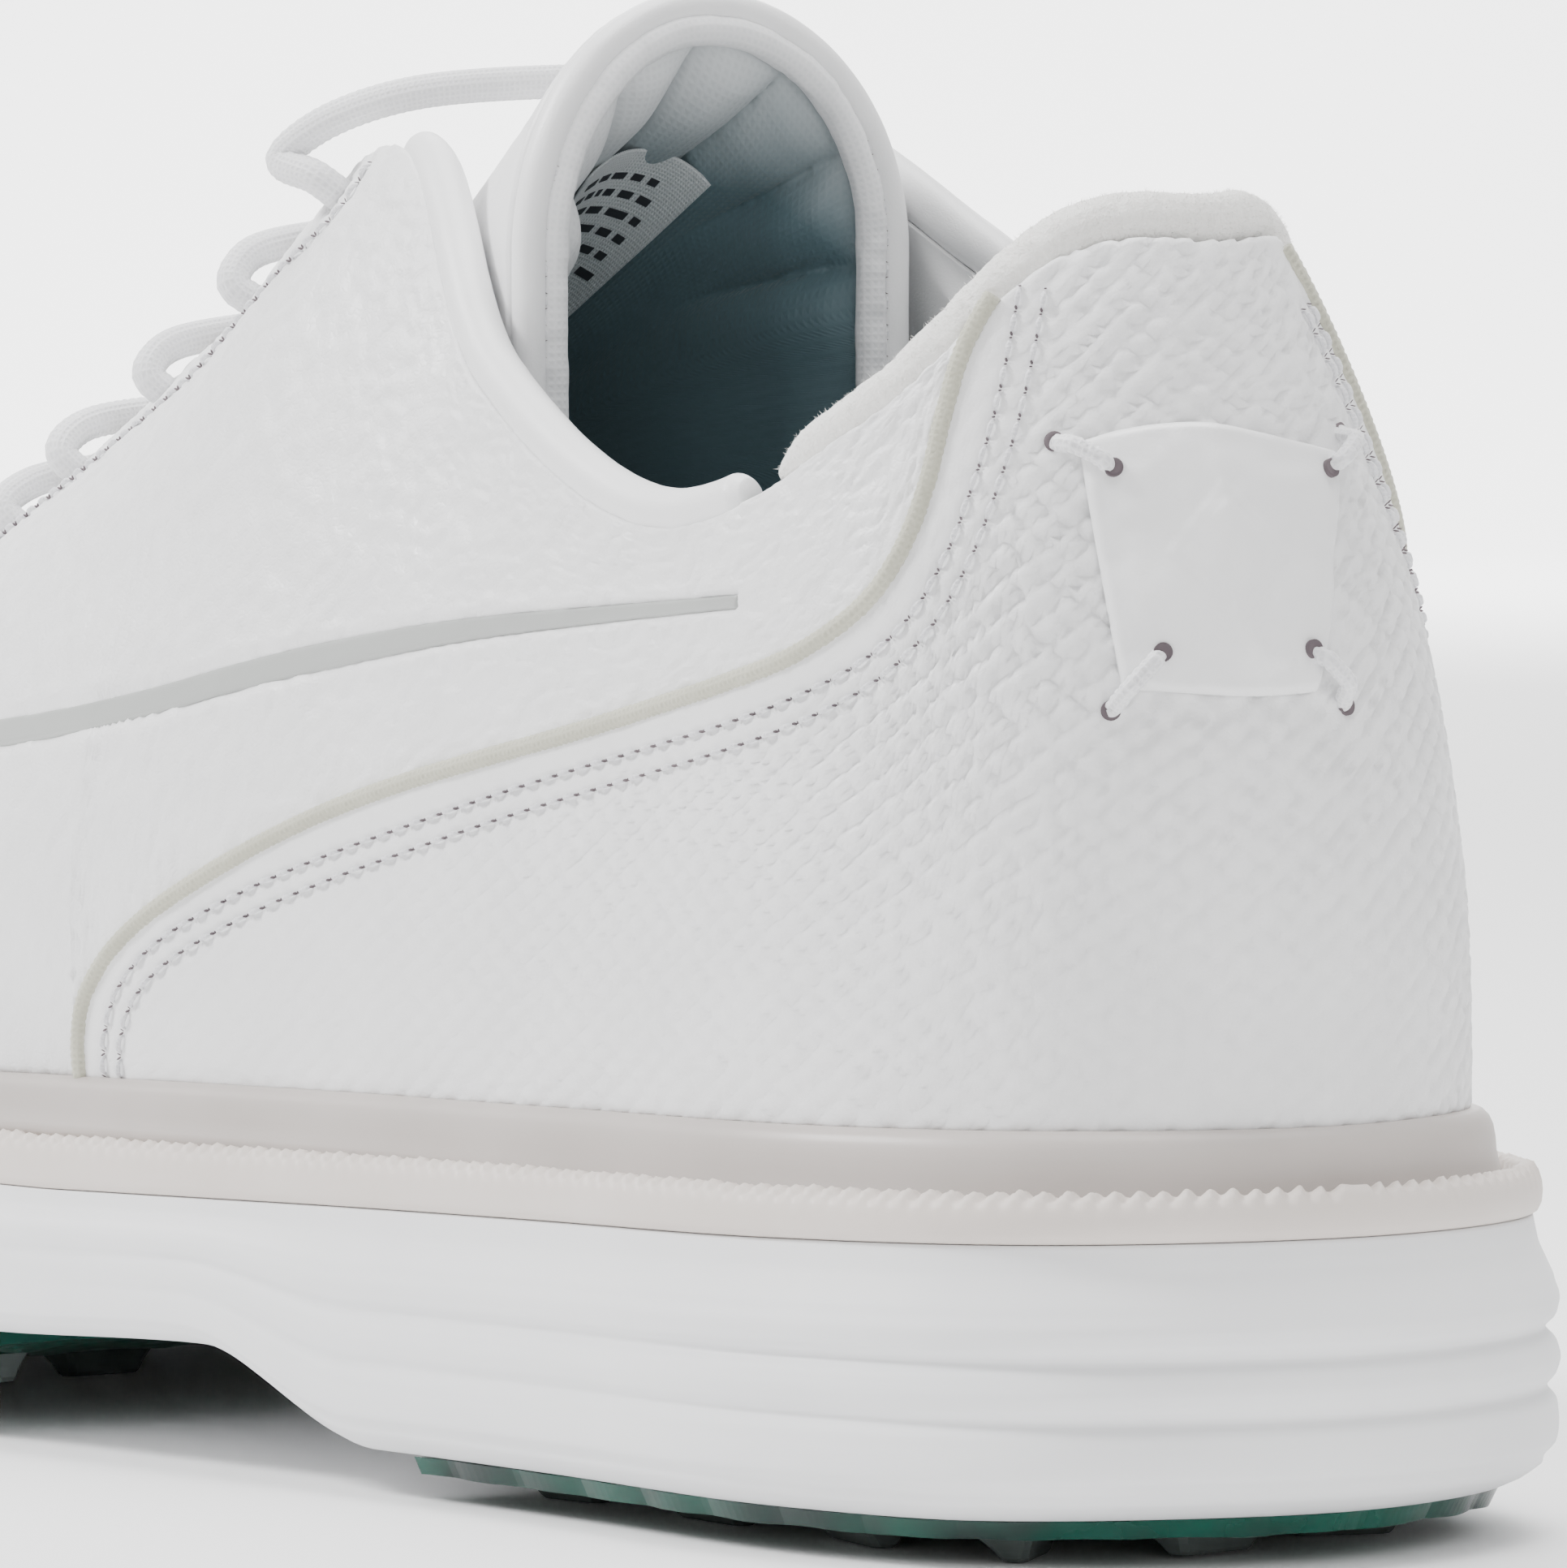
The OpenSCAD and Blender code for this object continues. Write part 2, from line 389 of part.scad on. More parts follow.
// Corner stitches of the heel patch: outer end, then the end over the patch
TIES = [[[1.0, 0.723], [0.74, 0.672]], [[-0.46, 0.72], [-0.16, 0.67]],
  [[0.78, 0.412], [0.6, 0.47]], [[-0.14, 0.42], [0.06, 0.475]]];
module patch_ties() color("white") for (t = TIES)
  cord([for (i = [0:5]) let(f = i / 5, q = t[0] + (t[1] - t[0]) * f) skin(q[0], q[1], -1.0 - 1.4 * ease(f * 2.2))], 1.5, 8);

// Tongue: rows of distance ahead of the heel, outer and inner half width,
// middle height, height at the bend, height at the edge
TG = [[216, 9, 9, 65.5, 60, 58.5], [200, 10.6, 10.8, 73.5, 66, 63.5], [184, 12, 12.2, 80.5, 71.5, 68.5],
  [167, 13, 13.2, 89, 78, 74], [150, 13, 14, 97.5, 85, 80], [133, 12.5, 15, 106.5, 94, 87],
  [117, 13.2, 17, 116, 101, 92], [104, 16, 20, 124.8, 105.5, 95], [93, 19.8, 22.5, 131.5, 109, 97]];
// Share of the tongue's half width where the arch turns into the side flap
tongue_bend = 0.78;
function tongue_pt(q, s) = let(r = lerp_list(TG, q), f = 88 * min(abs(s) / tongue_bend, 1),
  flap = max(abs(s) - tongue_bend, 0) / (1 - tongue_bend))
  [heel_x - r[0], (s < 0 ? -r[1] : r[2]) * sin(f) + side_y,
   r[3] - (r[3] - r[4]) * (1 - cos(f)) / (1 - cos(88)) - (r[4] - r[5]) * flap];
function tongue_dir(q, s) = let(q0 = max(q - 0.01, 0), q1 = min(q + 0.01, 1))
  unit(cross(tongue_pt(q1, s) - tongue_pt(q0, s), tongue_pt(q, s + 0.02) - tongue_pt(q, s - 0.02)));
function tongue_skin(q, s, depth) = tongue_pt(q, s) - depth * tongue_dir(q, s);
module tongue_layer(d0, d1, q0, q1, s1, nq, ns) sheet(
  [for (i = [0:nq]) [for (j = [0:ns]) tongue_skin(q0 + (q1 - q0) * i / nq, -s1 + 2 * s1 * j / ns, d0)]],
  [for (i = [0:nq]) [for (j = [0:ns]) tongue_skin(q0 + (q1 - q0) * i / nq, -s1 + 2 * s1 * j / ns, d1)]]);
module tongue_outer() color("white") tongue_layer(0, 1.1, 0, 1, 1, 18, 18);
module tongue_foam() color("khaki") tongue_layer(1.25, 1.25 + tongue_pad, 0.16, 0.985, 0.86, 12, 14);
module tongue_lining() color("darkslategray") tongue_layer(1.4 + tongue_pad, 2.2 + tongue_pad, 0.12, 1, 0.9, 16, 16);
module tongue_label() color("gainsboro") tongue_layer(2.3 + tongue_pad, 2.6 + tongue_pad, 0.7, 0.84, 0.3, 4, 4);
module tongue_binding() color("white") cord([for (i = [0:28]) let(s = -1 + 2 * i / 28,
  p = tongue_skin(1, s, tongue_roll_d / 2)) p + [tongue_roll_d / 2 + 0.2, 0, 0]], tongue_roll_d, 12);

// Round lace: one piece in straight bars over the tongue, its ends tucked under the eyestays
under_run = leather + gap + 0.8 + 0.35 + lace_d / 2;
over_run = -(lace_d / 2 + 0.7);
function hole_pt(side, k, depth) = skin(side * HOLES[k], hole_w, depth);
function edge_pt(side, k, depth) = skin(side * HOLES[k], 1, depth);
function mid_pt(k) = let(a = edge_pt(1, k, over_run), b = edge_pt(-1, k, over_run))
  [(a[0] + b[0]) / 2, side_y, (a[2] + b[2]) / 2 + 1.4];
function bar(side, k) = [hole_pt(side, k, 1.2), hole_pt(side, k, over_run), edge_pt(side, k, over_run - 0.3),
  (edge_pt(side, k, over_run - 0.3) + mid_pt(k)) / 2 + [0, 0, 0.4], mid_pt(k),
  (edge_pt(-side, k, over_run - 0.3) + mid_pt(k)) / 2 + [0, 0, 0.4],
  edge_pt(-side, k, over_run - 0.3), hole_pt(-side, k, over_run), hole_pt(-side, k, 1.2)];
function run(side, k0, k1) = [hole_pt(side, k0, under_run),
  skin(side * (HOLES[k0] * 0.5 + HOLES[k1] * 0.5), hole_w, under_run),
  hole_pt(side, k1, under_run)];
// The top loop stands clear of the tongue, then drops into the facing hole
function top_loop() = [hole_pt(1, 0, 1.2), hole_pt(1, 0, -2.4), [heel_x - 129, -18.4, 117],
  [heel_x - 125.5, -15.4, 120.5], [heel_x - 121, -8.9, 123], [heel_x - 117.5, 2.1, 124],
  [heel_x - 118, 13.1, 124], [heel_x - 121, 20.1, 122.5], [heel_x - 124, 23.6, 119.5],
  hole_pt(-1, 0, -2.4), hole_pt(-1, 0, 1.2)];
function tail(side, k0, k1) = [for (f = [0.36, 0])
  skin(side * (HOLES[k0] + (HOLES[k1] - HOLES[k0]) * f), hole_w, under_run)];
ROUTE = concat(tail(1, 4, 3), bar(1, 4), run(-1, 4, 3), bar(-1, 3), run(1, 3, 2), bar(1, 2), run(-1, 2, 1),
  bar(-1, 1),
  run(1, 1, 0), top_loop(), flip(tail(-1, 0, 1)));
module shoelace() color("white") cord(ROUTE, lace_d, 8);

midsole();
rand();
welt();
outsole_forefoot();
outsole_heel();
lugs_forefoot();
lugs_heel();
lasting_board();
shank();
insole();
vamp();
vamp_lining();
toe_puff();
quarter_lateral();
quarter_medial();
eyestay_lateral();
eyestay_medial();
heel_cover();
heel_counter();
heel_patch();
patch_ties();
piping_lateral();
piping_medial();
side_stripe_lateral();
side_stripe_medial();
collar_foam();
collar_lining();
collar_trim();
topline_binding_lateral();
topline_binding_medial();
tongue_outer();
tongue_foam();
tongue_lining();
tongue_binding();
tongue_label();
shoelace();
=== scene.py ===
import math
import bmesh
import bpy
import numpy as np
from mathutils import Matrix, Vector, kdtree


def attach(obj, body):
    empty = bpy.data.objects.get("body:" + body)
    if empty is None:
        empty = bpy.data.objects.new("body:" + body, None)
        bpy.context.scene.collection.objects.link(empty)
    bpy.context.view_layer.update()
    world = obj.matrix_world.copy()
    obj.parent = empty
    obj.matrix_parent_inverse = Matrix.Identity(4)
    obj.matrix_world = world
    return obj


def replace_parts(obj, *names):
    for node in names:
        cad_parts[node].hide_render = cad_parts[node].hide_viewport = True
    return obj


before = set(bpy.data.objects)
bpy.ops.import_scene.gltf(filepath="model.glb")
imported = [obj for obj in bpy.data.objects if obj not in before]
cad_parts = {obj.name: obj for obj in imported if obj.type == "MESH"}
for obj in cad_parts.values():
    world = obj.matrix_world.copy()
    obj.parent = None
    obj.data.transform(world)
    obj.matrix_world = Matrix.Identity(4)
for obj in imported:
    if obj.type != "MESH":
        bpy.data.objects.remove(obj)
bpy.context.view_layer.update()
MM = 0.001

# ---------------------------------------------------------------- shape of the upper (mm)
# Stations round the upper, from the heel along the outer side to the toe and back along the inner side:
# foot point (ahead of the heel, sideways, up), top point (the same), then lean in degrees and reach of the
# wall's curve at the foot, and at the top
ST = np.array([
    [0, 0, 35.7, 16, 0, 111.7, 2, 30, 58, 26],
    [9, -22, 35.7, 20, -13, 110, 2, 30, 64, 22],
    [31, -32, 35.3, 30, -25.5, 96, 3, 26, 76, 15],
    [62, -34, 34.8, 56, -29.5, 86.3, 4, 20, 80, 12],
    [95, -37, 34.4, 88, -26, 98.5, 5, 24, 70, 16],
    [122, -41, 34, 116, -16, 119, 7, 30, 48, 18],
    [150, -45, 33.5, 148, -14, 102, 9, 28, 38, 16],
    [182, -49, 33, 184, -11.5, 85.5, 13, 22, 28, 18],
    [226, -49, 33, 208, 0, 77.5, 16, 16, 6, 28],
    [268, -34, 33, 242, 0, 64, 18, 12, 4, 24],
    [290, 4, 33, 265, 0, 54, 24, 10, 14, 12],
    [268, 39, 33, 242, 0, 64, 18, 12, 4, 24],
    [226, 46, 33, 208, 0, 77.5, 16, 16, 6, 28],
    [182, 40, 33, 184, 11.5, 85.5, 12, 22, 28, 16],
    [150, 34, 33.5, 146, 15, 104, 7, 28, 38, 16],
    [122, 31, 34, 109, 19, 121.5, 5, 30, 48, 18],
    [95, 30, 34.4, 87, 29.5, 109.5, 3, 24, 74, 14],
    [62, 31, 34.8, 62, 31.5, 94.5, 3, 20, 84, 12],
    [31, 31, 35.3, 35, 24.5, 98.5, 3, 26, 76, 15],
    [9, 22, 35.7, 21.5, 11.5, 110.5, 2, 30, 64, 22]], float)
NS = len(ST)
HEEL_X, SIDE_Y = 143.8, 2.1     # where the heel and the middle line lie in the shared frame
SPRING_FROM, SPRING_RUN, SPRING = 185, 103, 11.0     # the sole rises by SPRING over SPRING_RUN
LEATHER = 1.4
GAP = 0.15          # between pieces that lie on each other
RIDGE = (8, 12)     # stations between which both walls meet on top of the toe


def herm(p0, p1, p2, p3, f):
    """Cubic through p1 and p2 with the slopes of their neighbours."""
    m1, m2 = (p2 - p0) / 2, (p3 - p1) / 2
    return ((2 * f**3 - 3 * f**2 + 1) * p1 + (f**3 - 2 * f**2 + f) * m1
            + (3 * f**2 - 2 * f**3) * p2 + (f**3 - f**2) * m2)


def station(u):
    """Interpolated row of ST; u > 0 runs along the outer side, u < 0 along the inner side."""
    i = np.floor(u).astype(int)
    f = (u - i)[..., None]
    return herm(ST[(i - 1) % NS], ST[i % NS], ST[(i + 1) % NS], ST[(i + 2) % NS], f)


def out_dir(u):
    """Outward direction of the footprint, level."""
    d = station(u + 0.02)[..., :2] - station(u - 0.02)[..., :2]
    n = np.stack([d[..., 1], -d[..., 0]], -1)
    return n / np.linalg.norm(n, axis=-1, keepdims=True)


def spring(a):
    return np.where(a < SPRING_FROM, 0.0, SPRING * (np.maximum(a - SPRING_FROM, 0) / SPRING_RUN) ** 2)


def place(p):
    return np.stack([HEEL_X - p[..., 0], p[..., 1] + SIDE_Y, p[..., 2] + spring(p[..., 0])], -1)


def wall(u, w):
    """Outer face of the upper: u round the shoe, w from the sole (0) to the top edge (1)."""
    u, w = np.broadcast_arrays(np.asarray(u, float), np.asarray(w, float))
    c, n = station(u), out_dir(u)
    v = np.mod(u, NS)
    ty = np.where((v >= RIDGE[0]) & (v <= RIDGE[1]), 0.0, c[..., 4])
    f = c[..., :3]
    t = np.stack([c[..., 3], ty, c[..., 5]], -1)
    lf, it = np.radians(c[..., 6]), np.radians(c[..., 8])
    p1 = f + c[..., 7:8] * np.stack([n[..., 0] * np.sin(lf), n[..., 1] * np.sin(lf), np.cos(lf)], -1)
    p2 = t + c[..., 9:10] * np.stack([n[..., 0] * np.cos(it), n[..., 1] * np.cos(it), -np.sin(it)], -1)
    w = w[..., None]
    v = 1 - w
    return place(v**3 * f + 3 * v * v * w * p1 + 3 * v * w * w * p2 + w**3 * t)


def unit(v):
    return v / np.maximum(np.linalg.norm(v, axis=-1, keepdims=True), 1e-9)


def face_dir(u, w):
    u, w = np.broadcast_arrays(np.asarray(u, float), np.asarray(w, float))
    h = 0.03
    m = np.mod(u, NS)
    ridge = (w > 0.985) & (m >= RIDGE[0] - 0.02) & (m <= RIDGE[1] + 0.02)
    v = np.where(ridge, 0.955, w)
    up = wall(u, np.minimum(v + h, 1)) - wall(u, np.maximum(v - h, 0))
    n = unit(np.cross(up, wall(u + h, v) - wall(u - h, v)))
    n2 = n.copy()
    n2[..., 1] = n2[..., 1] * np.where(w > 0.999, 0.0, 1.0)
    return np.where(ridge[..., None], unit(n2), n)


def skin(u, w, depth):
    """Point under the outer face; a negative depth stands off it."""
    return wall(u, w) - np.asarray(depth, float)[..., None] * face_dir(u, w)


def rim(u, d, z):
    """Point d mm outside the footprint at height z."""
    u = np.asarray(u, float)
    c, n = station(u), out_dir(u)
    a = c[..., 0] + d * n[..., 0]
    return np.stack([HEEL_X - a, c[..., 1] + d * n[..., 1] + SIDE_Y, z + spring(a)], -1)


def spline(t, s):
    t = np.asarray(t, float)
    n = len(t) - 1
    x = np.clip(s, 0, 1) * n
    i = np.minimum(np.floor(x).astype(int), n - 1)
    f = (x - i)[..., None]
    return herm(t[np.maximum(i - 1, 0)], t[i], t[i + 1], t[np.minimum(i + 2, n)], f)


def lengths(pts):
    """Distance along a run of points, starting at 0."""
    return np.concatenate([[0], np.cumsum(np.linalg.norm(np.diff(pts, axis=0), axis=1))])


def spread(grid, axis):
    """Distance over a grid of points from its first row (axis 0) or first column (axis 1)."""
    step = np.cumsum(np.linalg.norm(np.diff(grid, axis=axis), axis=2), axis=axis)
    return np.concatenate([0 * step.take([0], axis), step], axis)


def columns_at(x, xs, rows):
    """Rows of numbers interpolated column by column at x."""
    return np.stack([np.interp(x, xs, c) for c in np.asarray(rows, float).T], -1)


def ease(x):
    """Smooth step from 0 to 1."""
    x = np.clip(x, 0, 1)
    return x * x * (3 - 2 * x)


def noise2(x, y, seed=0):
    """Smooth value noise from -1 to 1."""
    xi, yi = np.floor(x).astype(int), np.floor(y).astype(int)
    fx, fy = ease(x - xi), ease(y - yi)

    def h(i, j):
        v = np.sin(i * 127.1 + j * 311.7 + seed * 74.7) * 43758.5453
        return (v - np.floor(v)) * 2 - 1
    return ((h(xi, yi) * (1 - fx) + h(xi + 1, yi) * fx) * (1 - fy)
            + (h(xi, yi + 1) * (1 - fx) + h(xi + 1, yi + 1) * fx) * fy)


# ---------------------------------------------------------------- meshes
def add_mesh(name, verts, faces, mat, body, smooth=True, uv=None):
    me = bpy.data.meshes.new(name)
    me.from_pydata((np.asarray(verts) * MM).tolist(), [], faces)
    me.update()
    if smooth:
        me.polygons.foreach_set("use_smooth", np.ones(len(me.polygons), bool))
    if uv is not None:
        layer = me.uv_layers.new(name="surface")
        idx = np.zeros(len(me.loops), int)
        me.loops.foreach_get("vertex_index", idx)
        layer.data.foreach_set("uv", np.asarray(uv, float)[idx].ravel())
    me.materials.append(mat)
    ob = bpy.data.objects.new(name, me)
    bpy.context.scene.collection.objects.link(ob)
    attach(ob, body)
    return ob


def grid_faces(n, m, offset=0, flip=False, wrap=False):
    i = np.arange(n if wrap else n - 1)[:, None]
    j = np.arange(m - 1)[None, :]
    a = i * m + j
    b = ((i + 1) % n) * m + j
    q = np.stack([a, b, b + 1, a + 1], -1).reshape(-1, 4) + offset
    return (q[:, ::-1] if flip else q).tolist()


def shell_faces(n, m, open_rows=None):
    """Faces of two n by m grids, one behind the other, and of the strips that join their borders."""
    k = n * m
    rows = np.arange(n - 1) * m
    f = grid_faces(n, m) + grid_faces(n, m, k, flip=True)
    f += np.stack([rows, rows + m, rows + m + k, rows + k], -1).tolist()
    last = (rows if open_rows is None else rows[open_rows]) + m - 1
    f += np.stack([last + m, last, last + k, last + m + k], -1).tolist()
    j = np.arange(m - 1)
    for e in (0, (n - 1) * m):
        f += np.stack([j + e, j + 1 + e, j + 1 + e + k, j + e + k], -1).tolist()
    return f


def two_faces(base, nrm, outer, inner):
    """Vertices of a sheet: its outer and its inner face, each at its depth under the base surface."""
    return np.concatenate([(base - d[..., None] * nrm).reshape(-1, 3) for d in (outer, inner)])


def rounded(d, edge):
    """Drop of a sheet's outer face at distance d from its border, for a border of radius edge."""
    return edge * (1 - np.sqrt(np.clip(1 - (1 - np.clip(d / edge, 0, 1)) ** 2, 0, 1)))


def depth_at(depth, *grid):
    return depth(*grid) if callable(depth) else depth + 0 * grid[0]


def tapered(s, least, run):
    """Share of a cord's radius: least at both ends, full from run mm inwards."""
    end = np.minimum(s, s[-1] - s)[:, None]
    return least + (1 - least) * np.sqrt(ease(end / run))


def frames_along(pts):
    t = unit(np.gradient(pts, axis=0))
    f = np.zeros_like(t)
    s = np.array([0, 0, 1.0]) if abs(t[0][2]) < 0.9 else np.array([1.0, 0, 0])
    f[0] = unit(np.cross(t[0], s))
    for i in range(1, len(t)):
        g = f[i - 1] - t[i] * (f[i - 1] @ t[i])
        f[i] = g / np.linalg.norm(g)
    return t, f, np.cross(t, f)


def resample(pts, step):
    pts = np.asarray(pts, float)
    L = lengths(pts)
    n = max(int(L[-1] / step), 2)
    s = np.linspace(0, L[-1], n + 1)
    return columns_at(s, L, pts), s


def smooth_path(pts, step):
    """Catmull-Rom curve through the points, then even steps along it."""
    pts = np.asarray(pts, float)
    q = spline(pts, np.linspace(0, 1, (len(pts) - 1) * 16 + 1))
    return resample(q, step)


def tube(name, pts, radius, mat, body, sides, up=None, profile=(1, 1)):
    """Swept cord; radius may depend on (distance, angle)."""
    t, x, y = frames_along(pts)
    if up is not None:
        x = unit(up - t * np.sum(up * t, -1, keepdims=True))
        y = np.cross(t, x)
    s = lengths(pts)
    ang = np.arange(sides) * 2 * np.pi / sides
    r = radius(s[:, None], ang[None, :])
    ca, sa = np.cos(ang)[:, None] * profile[0], np.sin(ang)[:, None] * profile[1]
    v = pts[:, None, :] + r[..., None] * (x[:, None, :] * ca + y[:, None, :] * sa)
    n = len(pts)
    i = np.arange(n - 1)[:, None]
    j = np.arange(sides)[None, :]
    a = i * sides + j
    b = i * sides + (j + 1) % sides
    faces = np.stack([a, b, b + sides, a + sides], -1).reshape(-1, 4).tolist()
    verts = v.reshape(-1, 3)
    faces.append(list(range(sides))[::-1])
    faces.append([(n - 1) * sides + k for k in range(sides)])
    uv = np.stack([np.repeat(s, sides), np.tile(ang / (2 * np.pi), n) * 2 * np.pi * np.mean(r)], -1) / 100
    return add_mesh(name, verts, faces, mat, body, uv=uv)


def join(name, objs):
    """Several pieces of one kind become one object."""
    keep = objs[0]
    bpy.context.view_layer.update()
    with bpy.context.temp_override(active_object=keep, selected_objects=objs,
                                   selected_editable_objects=objs, object=keep):
        bpy.ops.object.join()
    keep.name = name
    return keep


def solid(ob, merge=None):
    """Face normals point outwards; vertices closer than merge, if it is given, become one."""
    bm = bmesh.new()
    bm.from_mesh(ob.data)
    if merge:
        bmesh.ops.remove_doubles(bm, verts=bm.verts, dist=merge)
    bmesh.ops.recalc_face_normals(bm, faces=bm.faces)
    bm.to_mesh(ob.data)
    bm.free()
    return ob


# ---------------------------------------------------------------- materials
def new_material(name):
    m = bpy.data.materials.new(name)
    m.use_nodes = True
    return m, m.node_tree, m.node_tree.nodes["Principled BSDF"]


def add(t, kind, **values):
    n = t.nodes.new(kind)
    for k, v in values.items():
        if k in n.inputs:
            n.inputs[k].default_value = v
        else:
            setattr(n, k, v)
    return n


def mix_colour(t, fac, a, b):
    n = t.nodes.new("ShaderNodeMix")
    n.data_type = "RGBA"
    t.links.new(fac, n.inputs[0])
    for s, v in ((n.inputs[6], a), (n.inputs[7], b)):
        if isinstance(v, tuple):
            s.default_value = (*v, 1)
        else:
            t.links.new(v, s)
    return n.outputs[2]


def ramp(t, value, lo, hi, out0, out1):
    n = t.nodes.new("ShaderNodeMapRange")
    t.links.new(value, n.inputs[0])
    for k, v in zip((1, 2, 3, 4), (lo, hi, out0, out1)):
        n.inputs[k].default_value = v
    return n.outputs[0]


def noise(t, at, scale, detail):
    """Factor of a noise texture."""
    n = add(t, "ShaderNodeTexNoise", Scale=scale, Detail=detail)
    t.links.new(at, n.inputs["Vector"])
    return n.outputs[0]


def blotchy(t, factor, light, shade, half=0.15):
    """Two colours that run into each other where the factor passes 0.5."""
    return mix_colour(t, ramp(t, factor, 0.5 - half, 0.5 + half, 0, 1), light, shade)


def math2(t, op, a, b):
    n = t.nodes.new("ShaderNodeMath")
    n.operation = op
    for k, v in ((0, a), (1, b)):
        if isinstance(v, (int, float)):
            n.inputs[k].default_value = v
        else:
            t.links.new(v, n.inputs[k])
    return n.outputs[0]


def finish_material(t, b, height, strength, distance, colour, rough, rough_from):
    bump = t.nodes.new("ShaderNodeBump")
    bump.inputs["Strength"].default_value = strength
    bump.inputs["Distance"].default_value = distance
    t.links.new(height, bump.inputs["Height"])
    t.links.new(bump.outputs[0], b.inputs["Normal"])
    t.links.new(colour, b.inputs["Base Color"])
    t.links.new(ramp(t, rough_from, 0.3, 0.7, rough[0], rough[1]), b.inputs["Roughness"])


def leather_mat(name, light, shade, rough=(0.36, 0.52), cell=1500, grain=0.3, coat=0.0):
    m, t, b = new_material(name)
    at = add(t, "ShaderNodeTexCoord").outputs["Object"]
    vor = add(t, "ShaderNodeTexVoronoi", Scale=cell)
    vor.feature = "DISTANCE_TO_EDGE"
    t.links.new(at, vor.inputs["Vector"])
    fine = noise(t, at, 4200.0, 4.0)
    broad = noise(t, at, 90.0, 5.0)
    cells = ramp(t, vor.outputs["Distance"], 0.0, 0.25, 0.0, 1.0)
    h = math2(t, "ADD", math2(t, "MULTIPLY", cells, 0.7), math2(t, "MULTIPLY", fine, 0.5))
    finish_material(t, b, h, grain, 0.00012, blotchy(t, broad, light, shade), rough, broad)
    b.inputs["Coat Weight"].default_value = coat
    b.inputs["Coat Roughness"].default_value = 0.25
    return m


def foam_mat(name, light, shade, rough=(0.5, 0.62)):
    m, t, b = new_material(name)
    at = add(t, "ShaderNodeTexCoord").outputs["Object"]
    pores = noise(t, at, 2600.0, 3.0)
    broad = noise(t, at, 45.0, 6.0)
    finish_material(t, b, pores, 0.12, 0.0001, blotchy(t, broad, light, shade), rough, broad)
    return m


def cloth_mat(name, light, shade, pitch=0.7, depth=0.5, uv=True, rough=(0.75, 0.9), sheen=0.3, fuzz=0.0):
    """Woven cloth: warp and weft waves over a noise that varies the colour; the colour also darkens into the
    low parts of the weave, which is painted shade.
    """
    m, t, b = new_material(name)
    tex = add(t, "ShaderNodeTexCoord")
    at = tex.outputs["UV" if uv else "Object"]
    unit_length = 100.0 if uv else 1000.0
    waves = []
    for axis in ("X", "Y" if uv else "Z"):
        w = add(t, "ShaderNodeTexWave", Scale=unit_length / pitch * math.pi / 10)
        w.bands_direction = axis
        t.links.new(at, w.inputs["Vector"])
        waves.append(w.outputs["Fac"])
    weave = math2(t, "MAXIMUM", waves[0], waves[1])
    hair = noise(t, tex.outputs["Object"], 3800.0, 5.0)
    broad = noise(t, tex.outputs["Object"], 120.0, 5.0)
    h = math2(t, "ADD", math2(t, "MULTIPLY", weave, 1.0 - fuzz), math2(t, "MULTIPLY", hair, 0.4 + fuzz))
    # Painted shade: the colour goes to the darker shade colour where the weave and hair are low.
    c = mix_colour(t, ramp(t, math2(t, "MULTIPLY", h, broad), 0.1, 0.7, 1, 0), light, shade)
    finish_material(t, b, h, depth, 0.0002, c, rough, broad)
    b.inputs["Sheen Weight"].default_value = sheen
    return m


def gel_mat(name, light, shade, through=0.3, rough=(0.12, 0.28)):
    """Translucent moulded plastic."""
    m, t, b = new_material(name)
    at = add(t, "ShaderNodeTexCoord").outputs["Object"]
    cloud = noise(t, at, 70.0, 3.0)
    fine = noise(t, at, 1800.0, 2.0)
    finish_material(t, b, fine, 0.08, 0.0001, blotchy(t, cloud, light, shade, 0.12), rough, cloud)
    b.inputs["Transmission Weight"].default_value = through
    b.inputs["IOR"].default_value = 1.46
    return m


